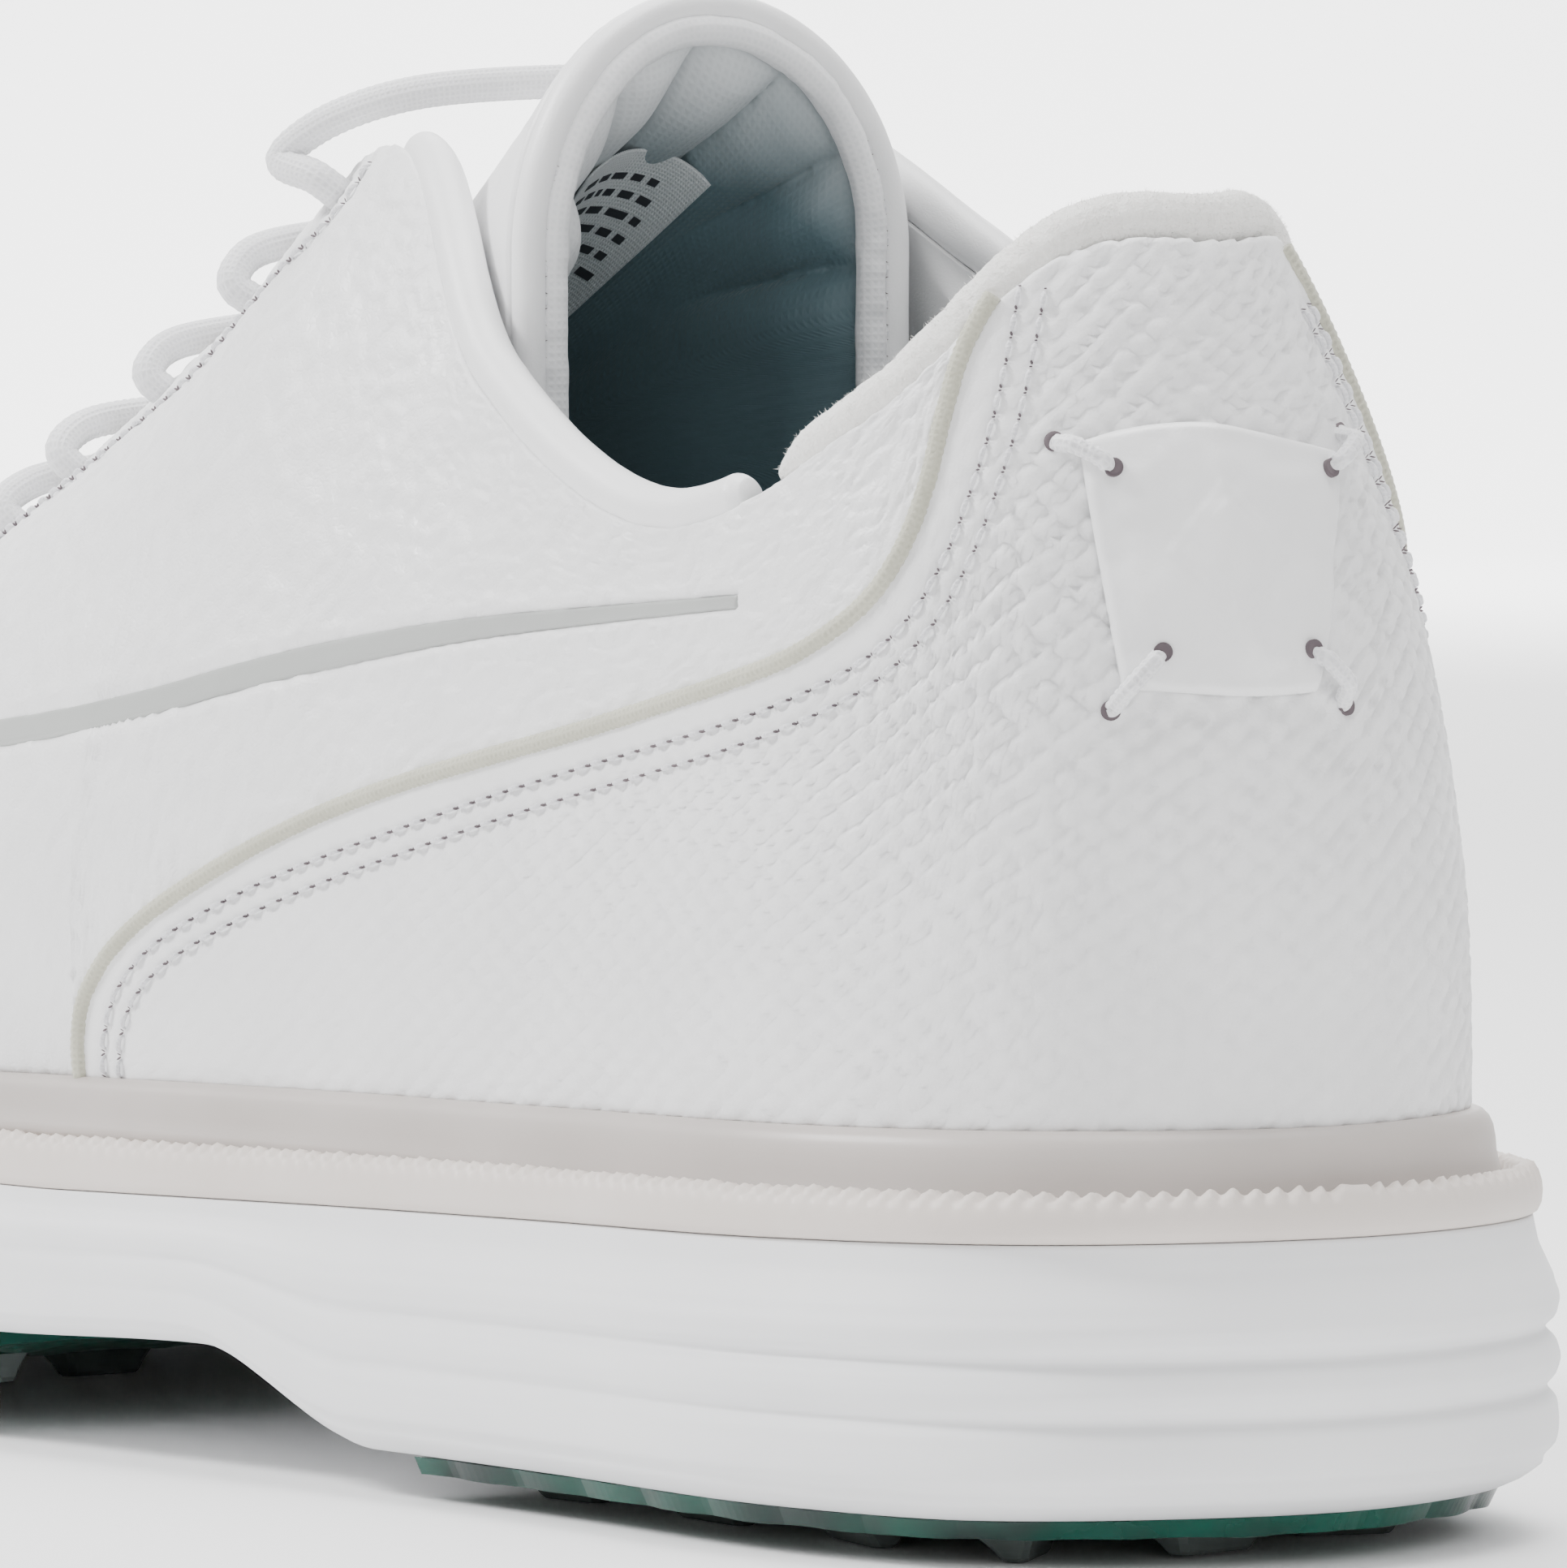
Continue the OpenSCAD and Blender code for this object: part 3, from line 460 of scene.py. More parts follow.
WHITE = (0.86, 0.86, 0.865)
M = {
    "leather": leather_mat("white_leather", WHITE, (0.82, 0.82, 0.825), grain=0.28),
    "scale": leather_mat("embossed_leather", WHITE, (0.81, 0.81, 0.815), rough=(0.32, 0.48), grain=0.14,
                         cell=1900),
    "soft": leather_mat("soft_leather", (0.88, 0.88, 0.885), (0.84, 0.84, 0.845), rough=(0.34, 0.46),
                        grain=0.12, cell=2300),
    "patch": leather_mat("glossy_patch", (0.87, 0.87, 0.875), (0.83, 0.83, 0.835), rough=(0.26, 0.38),
                         grain=0.1, cell=1700, coat=0.25),
    "midsole": foam_mat("midsole_foam", (0.86, 0.865, 0.875), (0.82, 0.825, 0.84)),
    "rand": foam_mat("taupe_rand", (0.50, 0.455, 0.43), (0.45, 0.41, 0.385), rough=(0.38, 0.5)),
    "welt": foam_mat("cream_welt", (0.70, 0.635, 0.59), (0.65, 0.585, 0.54), rough=(0.42, 0.55)),
    "plate": gel_mat("green_plate", (0.0, 0.10, 0.065), (0.012, 0.035, 0.03)),
    "lug": gel_mat("grey_lug", (0.13, 0.15, 0.145), (0.06, 0.075, 0.07), through=0.12, rough=(0.28, 0.42)),
    "trim": cloth_mat("cream_trim", (0.88, 0.87, 0.84), (0.78, 0.765, 0.735), pitch=0.9, depth=0.7,
                      fuzz=0.7, sheen=0.5),
    "cord": cloth_mat("cream_cord", (0.56, 0.55, 0.45), (0.42, 0.415, 0.33), pitch=0.6, depth=0.5, fuzz=0.4),
    "thread": cloth_mat("thread", (0.80, 0.80, 0.82), (0.68, 0.68, 0.71), pitch=0.35, depth=0.4, uv=False,
                        fuzz=0.2),
    # Near-black needle and tie holes: painted shade inside the holes.
    "hole": foam_mat("needle_hole_painted_shade", (0.16, 0.13, 0.14), (0.10, 0.08, 0.09), rough=(0.8, 0.9)),
    "stripe": foam_mat("grey_stripe", (0.41, 0.425, 0.41), (0.38, 0.39, 0.38), rough=(0.3, 0.42)),
    "lace": cloth_mat("lace_cotton", (0.86, 0.86, 0.87), (0.70, 0.70, 0.72), pitch=0.5, depth=0.5,
                      fuzz=0.3, sheen=0.3),
    # Dark slate-teal lining: partly the lining's own teal, partly painted shade of the shoe's inside.
    "lining": cloth_mat("teal_lining_painted_shade", (0.075, 0.125, 0.145), (0.045, 0.08, 0.095), pitch=0.42, depth=0.2,
                        fuzz=0.3),
    "light_lining": cloth_mat("light_lining", (0.62, 0.63, 0.64), (0.5, 0.51, 0.52), pitch=0.8, uv=False),
    "sock": cloth_mat("sock_cloth", (0.30, 0.36, 0.38), (0.20, 0.25, 0.27), pitch=0.9),
    "padding": foam_mat("open_foam", (0.70, 0.66, 0.50), (0.6, 0.56, 0.42), rough=(0.85, 0.95)),
    "stiffener": foam_mat("stiffener_sheet", (0.55, 0.45, 0.33), (0.46, 0.37, 0.27), rough=(0.7, 0.85)),
    "board": cloth_mat("fibre_board", (0.46, 0.36, 0.24), (0.36, 0.27, 0.18), pitch=1.2, uv=False, fuzz=0.8),
    "steel": foam_mat("brushed_steel", (0.55, 0.56, 0.58), (0.45, 0.46, 0.48), rough=(0.25, 0.4)),
    "label": cloth_mat("label_cloth", (0.50, 0.53, 0.54), (0.42, 0.45, 0.46), pitch=0.4, fuzz=0.1),
    "print": foam_mat("printed_marks", (0.03, 0.035, 0.04), (0.02, 0.02, 0.025), rough=(0.5, 0.6)),
}
M["steel"].node_tree.nodes["Principled BSDF"].inputs["Metallic"].default_value = 1.0


SATIN = {"pitch": 0.7, "depth": 0.2, "rough": (0.45, 0.6), "sheen": 0.2}


def satin(name, upper, lower):
    """Satin lining, pale at the rolled rim; the slate-teal darkening further down, on the side flaps and
    towards the inner side is painted shade.
    """
    m = cloth_mat(name, (0.80, 0.81, 0.82), (0.72, 0.73, 0.74), **SATIN)
    t = m.node_tree
    b = t.nodes["Principled BSDF"]
    pale = b.inputs["Base Color"].links[0].from_socket
    uv = add(t, "ShaderNodeUVMap").outputs[0]
    sep = add(t, "ShaderNodeSeparateXYZ")
    t.links.new(uv, sep.inputs[0])
    uneven = math2(t, "SUBTRACT", noise(t, uv, 6.0, 3.0), 0.5)
    q = math2(t, "ADD", sep.outputs[0], math2(t, "MULTIPLY", uneven, 0.10))
    q = math2(t, "SUBTRACT", q, math2(t, "MULTIPLY", sep.outputs[1], 0.7))
    # Painted shade: the pale satin darkens to slate-teal away from the rim, on the side flaps and towards
    # the inner side.
    c = mix_colour(t, ramp(t, q, lower, upper, 1, 0), pale, (0.08, 0.135, 0.155))
    t.links.new(c, b.inputs["Base Color"])
    return m


M["satin"] = satin("tongue_satin_painted_shade", 1.04, 0.80)
M["pale_satin"] = cloth_mat("lip_satin", (0.82, 0.82, 0.83), (0.74, 0.75, 0.76), **SATIN)


# ---------------------------------------------------------------- sole
MID_TOP, WELT_H, PLATE = 25.8, 3.0, 1.6     # midsole's top, welt's height, outsole plates' thickness
LEDGE = MID_TOP + WELT_H + 0.1
BRIM = (1.4, -1.7)      # the line between midsole and welt against MID_TOP: at the heel, from the waist on
# Height of the midsole's underside by distance ahead of the heel; share of its overhang by station
UNDER = np.array([[0, 4.4], [18, 4], [86, 4], [110, 11.5], [142, 10.5], [166, 7], [190, 4.5], [240, 4.5],
                  [300, 5]], float)
FLARE = np.array([[0, 1], [2, 0.9], [4, 0.75], [6, 0.6], [8, 0.65], [10, 0.75], [12, 0.65], [14, 0.6],
                  [16, 0.7], [18, 0.9], [20, 1]], float)


def table(t, a):
    """Eased steps between the rows of a table."""
    i = np.clip(np.searchsorted(t[:, 0], a, side="right") - 1, 0, len(t) - 2)
    f = ease((a - t[i, 0]) / (t[i + 1, 0] - t[i, 0]))
    return t[i, 1] + (t[i + 1, 1] - t[i, 1]) * f


def flare(u):
    return table(FLARE, np.mod(u, NS))


def ring_u(n):
    return (np.arange(n) + 0.5) * NS / n


def rings(name, sections, mat, closed=False):
    """Solid from outlines one above the other, capped across, or closed on itself."""
    n, r = len(sections[0]), len(sections)
    v = np.concatenate(sections)
    i, a = np.arange(n)[None, :], np.arange(r if closed else r - 1)[:, None]
    j, b = (i + 1) % n, (a + 1) % r
    f = np.stack([a * n + i + 0 * b, a * n + j + 0 * b, b * n + j, b * n + i], -1).reshape(-1, 4).tolist()
    if not closed:
        k = np.arange(n // 2 - 1)
        for base in (0, (r - 1) * n):
            f += np.stack([base + k + 1, base + k, base + n - 1 - k, base + n - 2 - k], -1).tolist()
    around = lengths(sections[r // 2])
    uv = np.stack([np.tile(around, r), np.repeat(np.arange(r) * 1.0, n)], -1) / 100
    return solid(add_mesh(name, v, f, mat, "shoe", uv=uv))


def lean(u, heel, front):
    """A height that runs from one value at the heel to another at the waist and on to the toe."""
    ahead = station(u)[:, 0]
    return heel + (front - heel) * np.clip(ahead / 130, 0, 1)


def midsole():
    u = ring_u(480)
    brim_z = MID_TOP + lean(u, *BRIM)
    low = table(UNDER, station(u)[:, 0])
    reach = np.array([[0, 3.2], [0.03, 4.8], [0.08, 6.6], [0.15, 7.5], [0.25, 7.75], [0.5, 7.75],
                      [0.68, 7.7], [0.78, 7.35], [0.9, 6.0], [1, 5.5]])
    side = np.minimum(np.mod(u, NS), NS - np.mod(u, NS))
    strong = 1 - ease((side - 2.6) / 3.2)
    ribs = ((16.8, -1.1, 0.7), (12.1, -0.95, 0.7), (14.4, 0.3, 0.8), (19.4, 0.3, 0.9), (8.6, 0.25, 1.6),
            (6.6, -0.4, 0.7))
    out = []
    for k in np.concatenate([[0, 0.015, 0.03, 0.055], np.linspace(0.08, 0.97, 60), [0.985, 1]]):
        z = low + (brim_z - low) * k
        zz = 4.2 + (MID_TOP - 4.2) * k
        ridge = sum(h * math.exp(-((zz - at) / wide) ** 2) for at, h, wide in ribs)
        soft = 0.25 * math.exp(-((zz - 20.2) / 1.2) ** 2) - 0.4 * math.exp(-((zz - 16.8) / 0.9) ** 2)
        d = np.interp(k, reach[:, 0], reach[:, 1]) + ridge * strong + soft * (1 - strong)
        out.append(rim(u, d * flare(u), z))
    out += [rim(u, -0.6, brim_z), rim(u, -0.6, LEDGE + 0 * u)]
    ob = rings("midsole_shell", out, M["midsole"])
    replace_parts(ob, "midsole")


def rand_piece():
    u = ring_u(480)
    top = station(u)[:, 2] + 0.3
    f = flare(u)
    prof = [(0.0, -3.4), (0.0, 2.7), (0.06, 3.0), (0.14, 3.05), (0.24, 2.8), (0.34, 2.45), (0.5, 2.2),
            (0.66, 2.1), (0.8, 1.9), (0.9, 1.55), (0.97, 1.0), (1.0, 0.4), (1.0, -3.4)]
    z0 = LEDGE - 0.25
    out = [rim(u, np.where(d > 0, d * (0.35 + 0.65 * f), d) + 0 * u, z0 + (top - z0) * k) for k, d in prof]
    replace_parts(rings("rand_strip", out, M["rand"], closed=True), "rand")


def welt_piece():
    n = 2600
    u = ring_u(n)
    f = flare(u)
    base = rim(u, 4 * f, 27 + 0 * u)
    s = lengths(base)
    rope = 0.5 + 0.5 * np.cos(2 * np.pi * s / 1.9)
    rough = noise2(s / 1.3, 0 * s, 3) * 0.12
    low = MID_TOP + 0.1 + lean(u, *BRIM)
    seat, lip = MID_TOP + WELT_H - 0.1, lean(u, 2.6, 0.1)
    prof = [(0, -0.4, 0, 0), (0, 5.4, 0, 1), (0.07, 5.95, 0, 1), (0.24, 6.3, 0, 1), (0.48, 6.4, 0, 1),
            (0.68, 6.3, 0.1, 1), (0.86, 6.0, 0.3, 1), (0.97, 5.5, 0.9, 1), (1.02, 4.9, 1.0, 1),
            (1.0, 4.3, 0.8, 1), (0.94, 3.9, 0.2, 1), (0.92, 3.6, 0, 0.3), (1, 3.3, 0, 0), (1, -0.4, 0, 0)]
    out = []
    for k, d, tex, up in prof:
        shift = np.interp(s - 0.5 * d, s, rope)
        z = low + (seat + lip * up - low) * k + tex * (0.75 * (shift - 0.6) + rough)
        dd = tex * 0.3 * (shift - 0.5)
        out.append(rim(u, np.where(d > 0, d * f + dd, d) + 0 * u, z))
    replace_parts(rings("welt_strip", out, M["welt"], closed=True), "welt")


def plate_piece(name, node, u0, u1, n):
    """Outsole plate: scalloped edge, faceted underside."""
    us = np.linspace(u0, u1, n)
    low = table(UNDER, station(us)[:, 0]) - GAP
    m = 41
    c = np.linspace(0, 1, m)
    half = n // 2

    def sheet_at(d, z):
        p = rim(us, d, z)
        return p[:half, None, :] + (p[::-1][:half, None, :] - p[:half, None, :]) * c[None, :, None]
    s = lengths(rim(us, 2.0, low))
    scallop = 0.45 * np.abs(np.sin(np.pi * s / 9.0)) - 0.2
    top = sheet_at(2.3 + scallop, low)
    bot = sheet_at(1.5 + scallop, low - PLATE)
    x, y = bot[..., 0], bot[..., 1]
    facet = np.abs(((x + y * 0.9) / 11) % 1 - 0.5) + np.abs(((x - y * 0.9) / 11) % 1 - 0.5)
    bot[..., 2] += 0.55 * (facet - 0.5) * np.minimum(1, 0.4 + np.minimum(c, 1 - c)[None, :] * 8)
    v = np.concatenate([top.reshape(-1, 3), bot.reshape(-1, 3)])
    ob = solid(add_mesh(name, v, shell_faces(half, m), M["plate"], "shoe", smooth=False))
    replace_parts(ob, node)


# Lugs: distance ahead of the heel, sideways, length, width, turn in degrees
HEEL_LUGS = [(9, -6, 11, 5, 80), (14, 12, 11, 5, 115), (16, -20, 11, 5, 50), (32, -25, 12, 5, 10),
             (34, 22, 12, 5, -10), (52, -26, 12, 5, 0), (54, 22, 12, 5, 0), (72, -27, 9, 5, -12),
             (73, 21, 9, 5, 12), (34, 0, 10, 6, 90), (56, -2, 10, 6, 90)]
FORE_LUGS = [(160, -34, 9, 5, 0), (161, 25, 9, 5, 0), (186, -38, 12, 5, 5), (186, 28, 12, 5, -5),
             (186, -6, 10, 6, 90), (208, -39, 12, 5, 0), (208, 33, 12, 5, 0), (208, -18, 10, 6, 90),
             (208, 10, 10, 6, 90), (230, -36, 12, 5, -12), (230, 35, 12, 5, 10), (230, -4, 10, 6, 90),
             (250, -26, 10, 5, -25), (251, 29, 10, 5, 25), (252, 3, 10, 6, 90), (268, -8, 10, 5, 65),
             (269, 16, 10, 5, 120)]


def lug_piece(name, node, lugs, height):
    """Chisel lugs: a wide foot, a hollow front face and a short flat tip."""
    V, F = [], []
    prof = [(0.0, 1.0, 1.0, 0.0), (0.12, 0.96, 0.9, 0.0), (0.5, 0.86, 0.66, 0.25), (0.85, 0.8, 0.5, 0.45),
            (1.0, 0.74, 0.4, 0.5)]
    for a, y, l, w, turn in lugs:
        under = lambda q: float(table(UNDER, np.array([q]))[0] + spring(np.array([q]))[0])
        slope = math.atan((under(a + 4) - under(a - 4)) / 8)
        z0 = under(a) - GAP - PLATE - 0.05
        ct, st_ = math.cos(math.radians(-turn)), math.sin(math.radians(-turn))
        o = len(V)
        for k, fl, fw, off in prof:
            hx, hy = l / 2 * fl, w / 2 * fw
            cx, cy = hx - 0.6, hy - 0.5
            for px, py in ((-hx, -cy), (-cx, -hy), (cx, -hy), (hx, -cy), (hx, cy), (cx, hy), (-cx, hy),
                           (-hx, cy)):
                py += off
                x2, y2 = px * ct - py * st_, px * st_ + py * ct
                z = -k * height - x2 * math.tan(slope)
                V.append((HEEL_X - a + x2, y + SIDE_Y + y2, z0 + z))
        for p in range(o, o + 8 * (len(prof) - 1), 8):
            F += [[p + i, p + (i + 1) % 8, p + 8 + (i + 1) % 8, p + 8 + i] for i in range(8)]
        F += [list(range(o + 7, o - 1, -1)), list(range(len(V) - 8, len(V)))]
    ob = solid(add_mesh(name, V, F, M["lug"], "shoe", smooth=False))
    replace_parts(ob, node)


def insole_piece():
    """Sock sheet with a shallow heel cup, on its own padding."""
    z = LEDGE + GAP + 1.3 + 0.1 + 0.9 + 0.1     # above the lasting board and the shank
    u = np.linspace(0.05, 9.95, 150)
    c = np.linspace(0, 1, 61)

    def level(d, dz):
        p, q = rim(u, d, z + dz + 0 * u), rim(-u, d, z + dz + 0 * u)
        return p[:, None, :] + (q - p)[:, None, :] * c[None, :, None]
    top, bot = level(-4.7, 3.9), level(-5.8, 0.0)
    edge = np.minimum(c, 1 - c) * 2
    a = station(u)[:, 0]
    cup = (0.9 * (1 - ease((a - 40) / 60)))[:, None] * (ease(edge / 0.5)[None, :])
    top[..., 2] -= cup + 0.7 * (1 - ease(edge / 0.08))[None, :]
    v = np.concatenate([top.reshape(-1, 3), bot.reshape(-1, 3)])
    ob = solid(add_mesh("sock_insole", v, shell_faces(*top.shape[:2]), M["sock"], "shoe",
                        uv=v[:, :2] / 100))
    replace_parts(ob, "insole")


midsole()
rand_piece()
welt_piece()
plate_piece("heel_plate", "outsole_heel", -3.55, 3.55, 240)
plate_piece("forefoot_plate", "outsole_forefoot", 5.9, 14.1, 400)
lug_piece("heel_lugs", "lugs_heel", HEEL_LUGS, 2.1)
lug_piece("forefoot_lugs", "lugs_forefoot", FORE_LUGS, 2.5)
insole_piece()


# ---------------------------------------------------------------- upper
# Lines on the side of the upper as (distance ahead of the heel, height) in mm
PIPE_SIDE = [(22.3, 104.5), (23, 100), (23, 94.5), (23, 88.5), (24.2, 83), (27.2, 78.5), (33.4, 74.7),
             (42, 72.1), (53, 69.5), (64, 67), (75, 64.7), (86, 62.2), (97, 59.1), (107.2, 55.2),
             (117.5, 50.3), (124, 46), (127.8, 41.6), (129, 37.6), (129.2, 34)]
PIPE_INNER = [(16.9, 108.5), (15.8, 102), (15.4, 96), (16, 90), (18.5, 84), (24.5, 78.6),
              (33.5, 74.9)] + PIPE_SIDE[7:]
ROW_SIDE = [(20.8, 105.5), (19.8, 100), (19.2, 94), (19.4, 88), (20.2, 83), (22.3, 78), (26.5, 74),
            (33.5, 70.9), (42.5, 68.4), (53, 66.1), (63.5, 63.8), (74.5, 61.2), (85.5, 58.3),
            (96.3, 55.3), (106.8, 51.8), (117.3, 47.2), (122.8, 43), (125.3, 38.5), (126, 34.2)]
ROW_INNER = [(15.0, 104), (13.9, 99), (12.7, 93), (12.8, 87.5), (14.5, 82), (19.5, 76), (28, 72.4),
             (36, 70)] + ROW_SIDE[8:]
STRIPE_TOP = [(42.3, 79.5), (54.6, 78.6), (66, 77.8), (78, 76.9), (89.5, 75.7), (100.5, 74.1),
              (111, 72.1), (121.5, 69.8), (133.5, 67.7), (147, 66), (165, 64.6), (184, 63.6)]
STRIPE_BOTTOM = [(42.3, 78.3), (54.3, 77.3), (66, 76.2), (77.5, 75), (88.7, 73.5), (99.6, 71.7),
                 (110, 69.7), (120.7, 67.4), (132.5, 65.3), (146, 63.5), (164, 62), (184, 60.9)]


def find_uw(target, u, w, plane=False):
    """Newton steps on the wall towards points in space, or towards their (x, z) only."""
    for _ in range(14):
        p = wall(u, w)
        du, dw = (wall(u + 1e-3, w) - p) * 1e3, (wall(u, w + 1e-3) - p) * 1e3
        e = target - p
        if plane:
            e, du, dw = (v * np.array([1.0, 0, 1.0]) for v in (e, du, dw))
        a, b, c = np.sum(du * du, -1), np.sum(du * dw, -1), np.sum(dw * dw, -1)
        f, g = np.sum(du * e, -1), np.sum(dw * e, -1)
        det = np.maximum(a * c - b * b, 1e-6)
        u = u + np.clip((c * f - b * g) / det, -0.3, 0.3)
        w = np.clip(w + np.clip((a * g - b * f) / det, -0.2, 0.2), 0, 1)
    return u, w


def side_line(points, side, n=400):
    """A line given in side view becomes a smooth run of (u, w) on the outer (1) or inner (-1) wall."""
    q = spline(points, np.linspace(0, 1, n))
    target = np.stack([HEEL_X - q[:, 0], 0 * q[:, 0], q[:, 1] + spring(q[:, 0])], -1)
    gu, gw = np.meshgrid(side * np.linspace(0.35, 7.6, 300), np.linspace(0, 1, 120), indexing="ij")
    g = wall(gu, gw).reshape(-1, 3)
    k = [int(np.argmin((g[:, 0] - t[0]) ** 2 + (g[:, 2] - t[2]) ** 2)) for t in target]
    u, w = find_uw(target, gu.ravel()[k], gw.ravel()[k], plane=True)
    return np.stack([u, w], -1)


def beside(line, offset):
    """The line moved sideways over the surface, offset mm towards the sole side of its direction."""
    p, n = wall(line[:, 0], line[:, 1]), face_dir(line[:, 0], line[:, 1])
    t = unit(np.gradient(p, axis=0))
    u, w = find_uw(p + offset * np.cross(n, t), line[:, 0].copy(), line[:, 1].copy())
    return np.stack([u, w], -1)


def by_length(line, n=400):
    """Evenly spaced over the surface."""
    p = wall(line[:, 0], line[:, 1])
    s = lengths(p)
    return columns_at(np.linspace(0, s[-1], n), s, line)


def straight(points, n=60):
    """Straight runs in (u, w)."""
    last = len(points) - 1
    return columns_at(np.linspace(0, last, n * last + 1), np.arange(last + 1), points)


PIPE, PIPE_M = side_line(PIPE_SIDE, 1), side_line(PIPE_INNER, -1)
ROW_A, ROW_AM = side_line(ROW_SIDE, 1), side_line(ROW_INNER, -1)
ROW_B, ROW_BM = beside(ROW_A, 2.2), beside(ROW_AM, -2.2)
STRIPES = {side: (side_line(STRIPE_BOTTOM, side), side_line(STRIPE_TOP, side)) for side in (1, -1)}
# Lace holes: their u from the top row down, their w, their radius
HOLES, HOLE_W, HOLE_R = (5.27, 5.75, 6.22, 6.66, 7.06), 0.925, 2.1


def lines3(rows, n=600):
    """Points in space and face normals along a line given in (u, w)."""
    q = spline(rows, np.linspace(0, 1, n))
    return wall(q[:, 0], q[:, 1]), face_dir(q[:, 0], q[:, 1])


def distance_to(points, line):
    tree = kdtree.KDTree(len(line))
    for i, p in enumerate(line):
        tree.insert(p, i)
    tree.balance()
    flat = points.reshape(-1, 3)
    return np.array([tree.find(p)[2] for p in flat]).reshape(points.shape[:-1])


def channel(points, lines, depth=0.22, wide=0.7):
    """The thread pulls the leather in along each row of stitches."""
    d = 0
    for line in lines:
        d = d + depth * np.exp(-(distance_to(points, line) / wide) ** 2)
    return d


def wrinkles(x, y, seed, size=2.4, amount=0.07):
    """Milled leather: soft irregular cells and a few longer folds."""
    wx = x + 1.2 * noise2(x / 4, y / 4, seed + 5)
    wy = y + 1.2 * noise2(x / 4, y / 4, seed + 6)
    cells = 1 - np.abs(noise2(wx / size, wy / (size * 0.8), seed)) * 1.6
    small = 1 - np.abs(noise2(wx / (size * 0.45), wy / (size * 0.4), seed + 1)) * 1.6
    return amount * (ease(cells) + 0.5 * ease(small) + 1.2 * noise2(x / 9, y / 9, seed + 2))


def scales(x, y, pitch=3.0):
    """Raised diamond scales with jittered centres: 1 on a scale, 0 in the furrow."""
    a, b = pitch * 1.25, pitch * 0.92
    p, q = x / a + y / b, x / a - y / b
    pi, qi = np.round(p), np.round(q)
    best = np.full(x.shape, 1e9)
    second = np.full(x.shape, 1e9)
    for dp in (-1, 0, 1):
        for dq in (-1, 0, 1):
            cp, cq = pi + dp, qi + dq
            h1 = np.sin(cp * 12.9898 + cq * 78.233) * 43758.5453
            h2 = np.sin(cp * 39.346 + cq * 11.135) * 24634.6345
            cp2 = cp + 0.18 * (h1 - np.floor(h1) - 0.5)
            cq2 = cq + 0.18 * (h2 - np.floor(h2) - 0.5)
            ex, ey = (cp2 + cq2) / 2 * a, (cp2 - cq2) / 2 * b
            d = np.hypot((x - ex) * 0.82, (y - ey) * 1.1)
            second = np.minimum(second, np.maximum(best, d))
            best = np.minimum(best, d)
    return ease((second - best) / 0.75)


TURN = np.linspace(-8, 8, 1601)
ARC = lengths(wall(TURN, 0.55 + 0 * TURN))


def around(u):
    """Distance round the upper at mid height, in mm."""
    return np.interp(u, TURN, ARC)


def quarter(name, node, pipe, side, seed):
    bottom = straight([(5.3 * side, 0), (7.25 * side, 0)])
    low = by_length(np.concatenate([pipe, bottom]))
    top = [(2.7, 0.962), (4.5, 0.965), (5.3, 0.995), (5.5, 1), (7.25, 1)]
    high = by_length(straight([(pipe[0, 0] + 0.02 * side, 0.965)] + [(u * side, w) for u, w in top]))
    b, t = STRIPES[side]
    order_b, order_t = np.argsort(np.abs(b[:, 0])), np.argsort(np.abs(t[:, 0]))
    eye = [lines3([(side * u, w) for u, w in EYE_ROW], n=400)[0]]
    toe = [lines3([(side * u, w) for u, w in r], n=200)[0] for r in (TOE_ROW_A, TOE_ROW_B)]

    def outer(u, w, along, up):
        v = np.abs(u)
        lo = np.interp(v, np.abs(b[order_b, 0]), b[order_b, 1])
        hi = np.interp(v, np.abs(t[order_t, 0]), t[order_t, 1])
        scale = np.linalg.norm(wall(u, np.full_like(u, 0.55)) - wall(u, np.full_like(u, 0.45)), axis=-1) * 10
        height, mid = (hi - lo) * scale, np.abs(w - (lo + hi) / 2) * scale
        inside = ease((v - np.abs(t[0, 0]) + 0.02) / 0.03) * (1 - ease((v - np.abs(t[-1, 0]) - 0.01) / 0.03))
        groove = (1 - ease((mid - height / 2 + 0.1) / 0.6)) * inside
        lip = 0.16 * np.exp(-((mid - height / 2 - 1.1) / 0.6) ** 2) * inside
        rest = wrinkles(around(u), wall(u, w)[..., 2], seed, size=1.6, amount=0.24) * (1 - groove)
        return 0.6 * groove - lip + rest + channel(wall(u, w), eye + toe)
    if side < 0:
        low, high = low[::-1], high[::-1]
    ob = slab(name, low, high, 370, 100, outer, LEATHER, M["leather"], "shoe", edge=0.5,
              holes=[(side * h, HOLE_W, HOLE_R) for h in HOLES])
    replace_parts(ob, node)


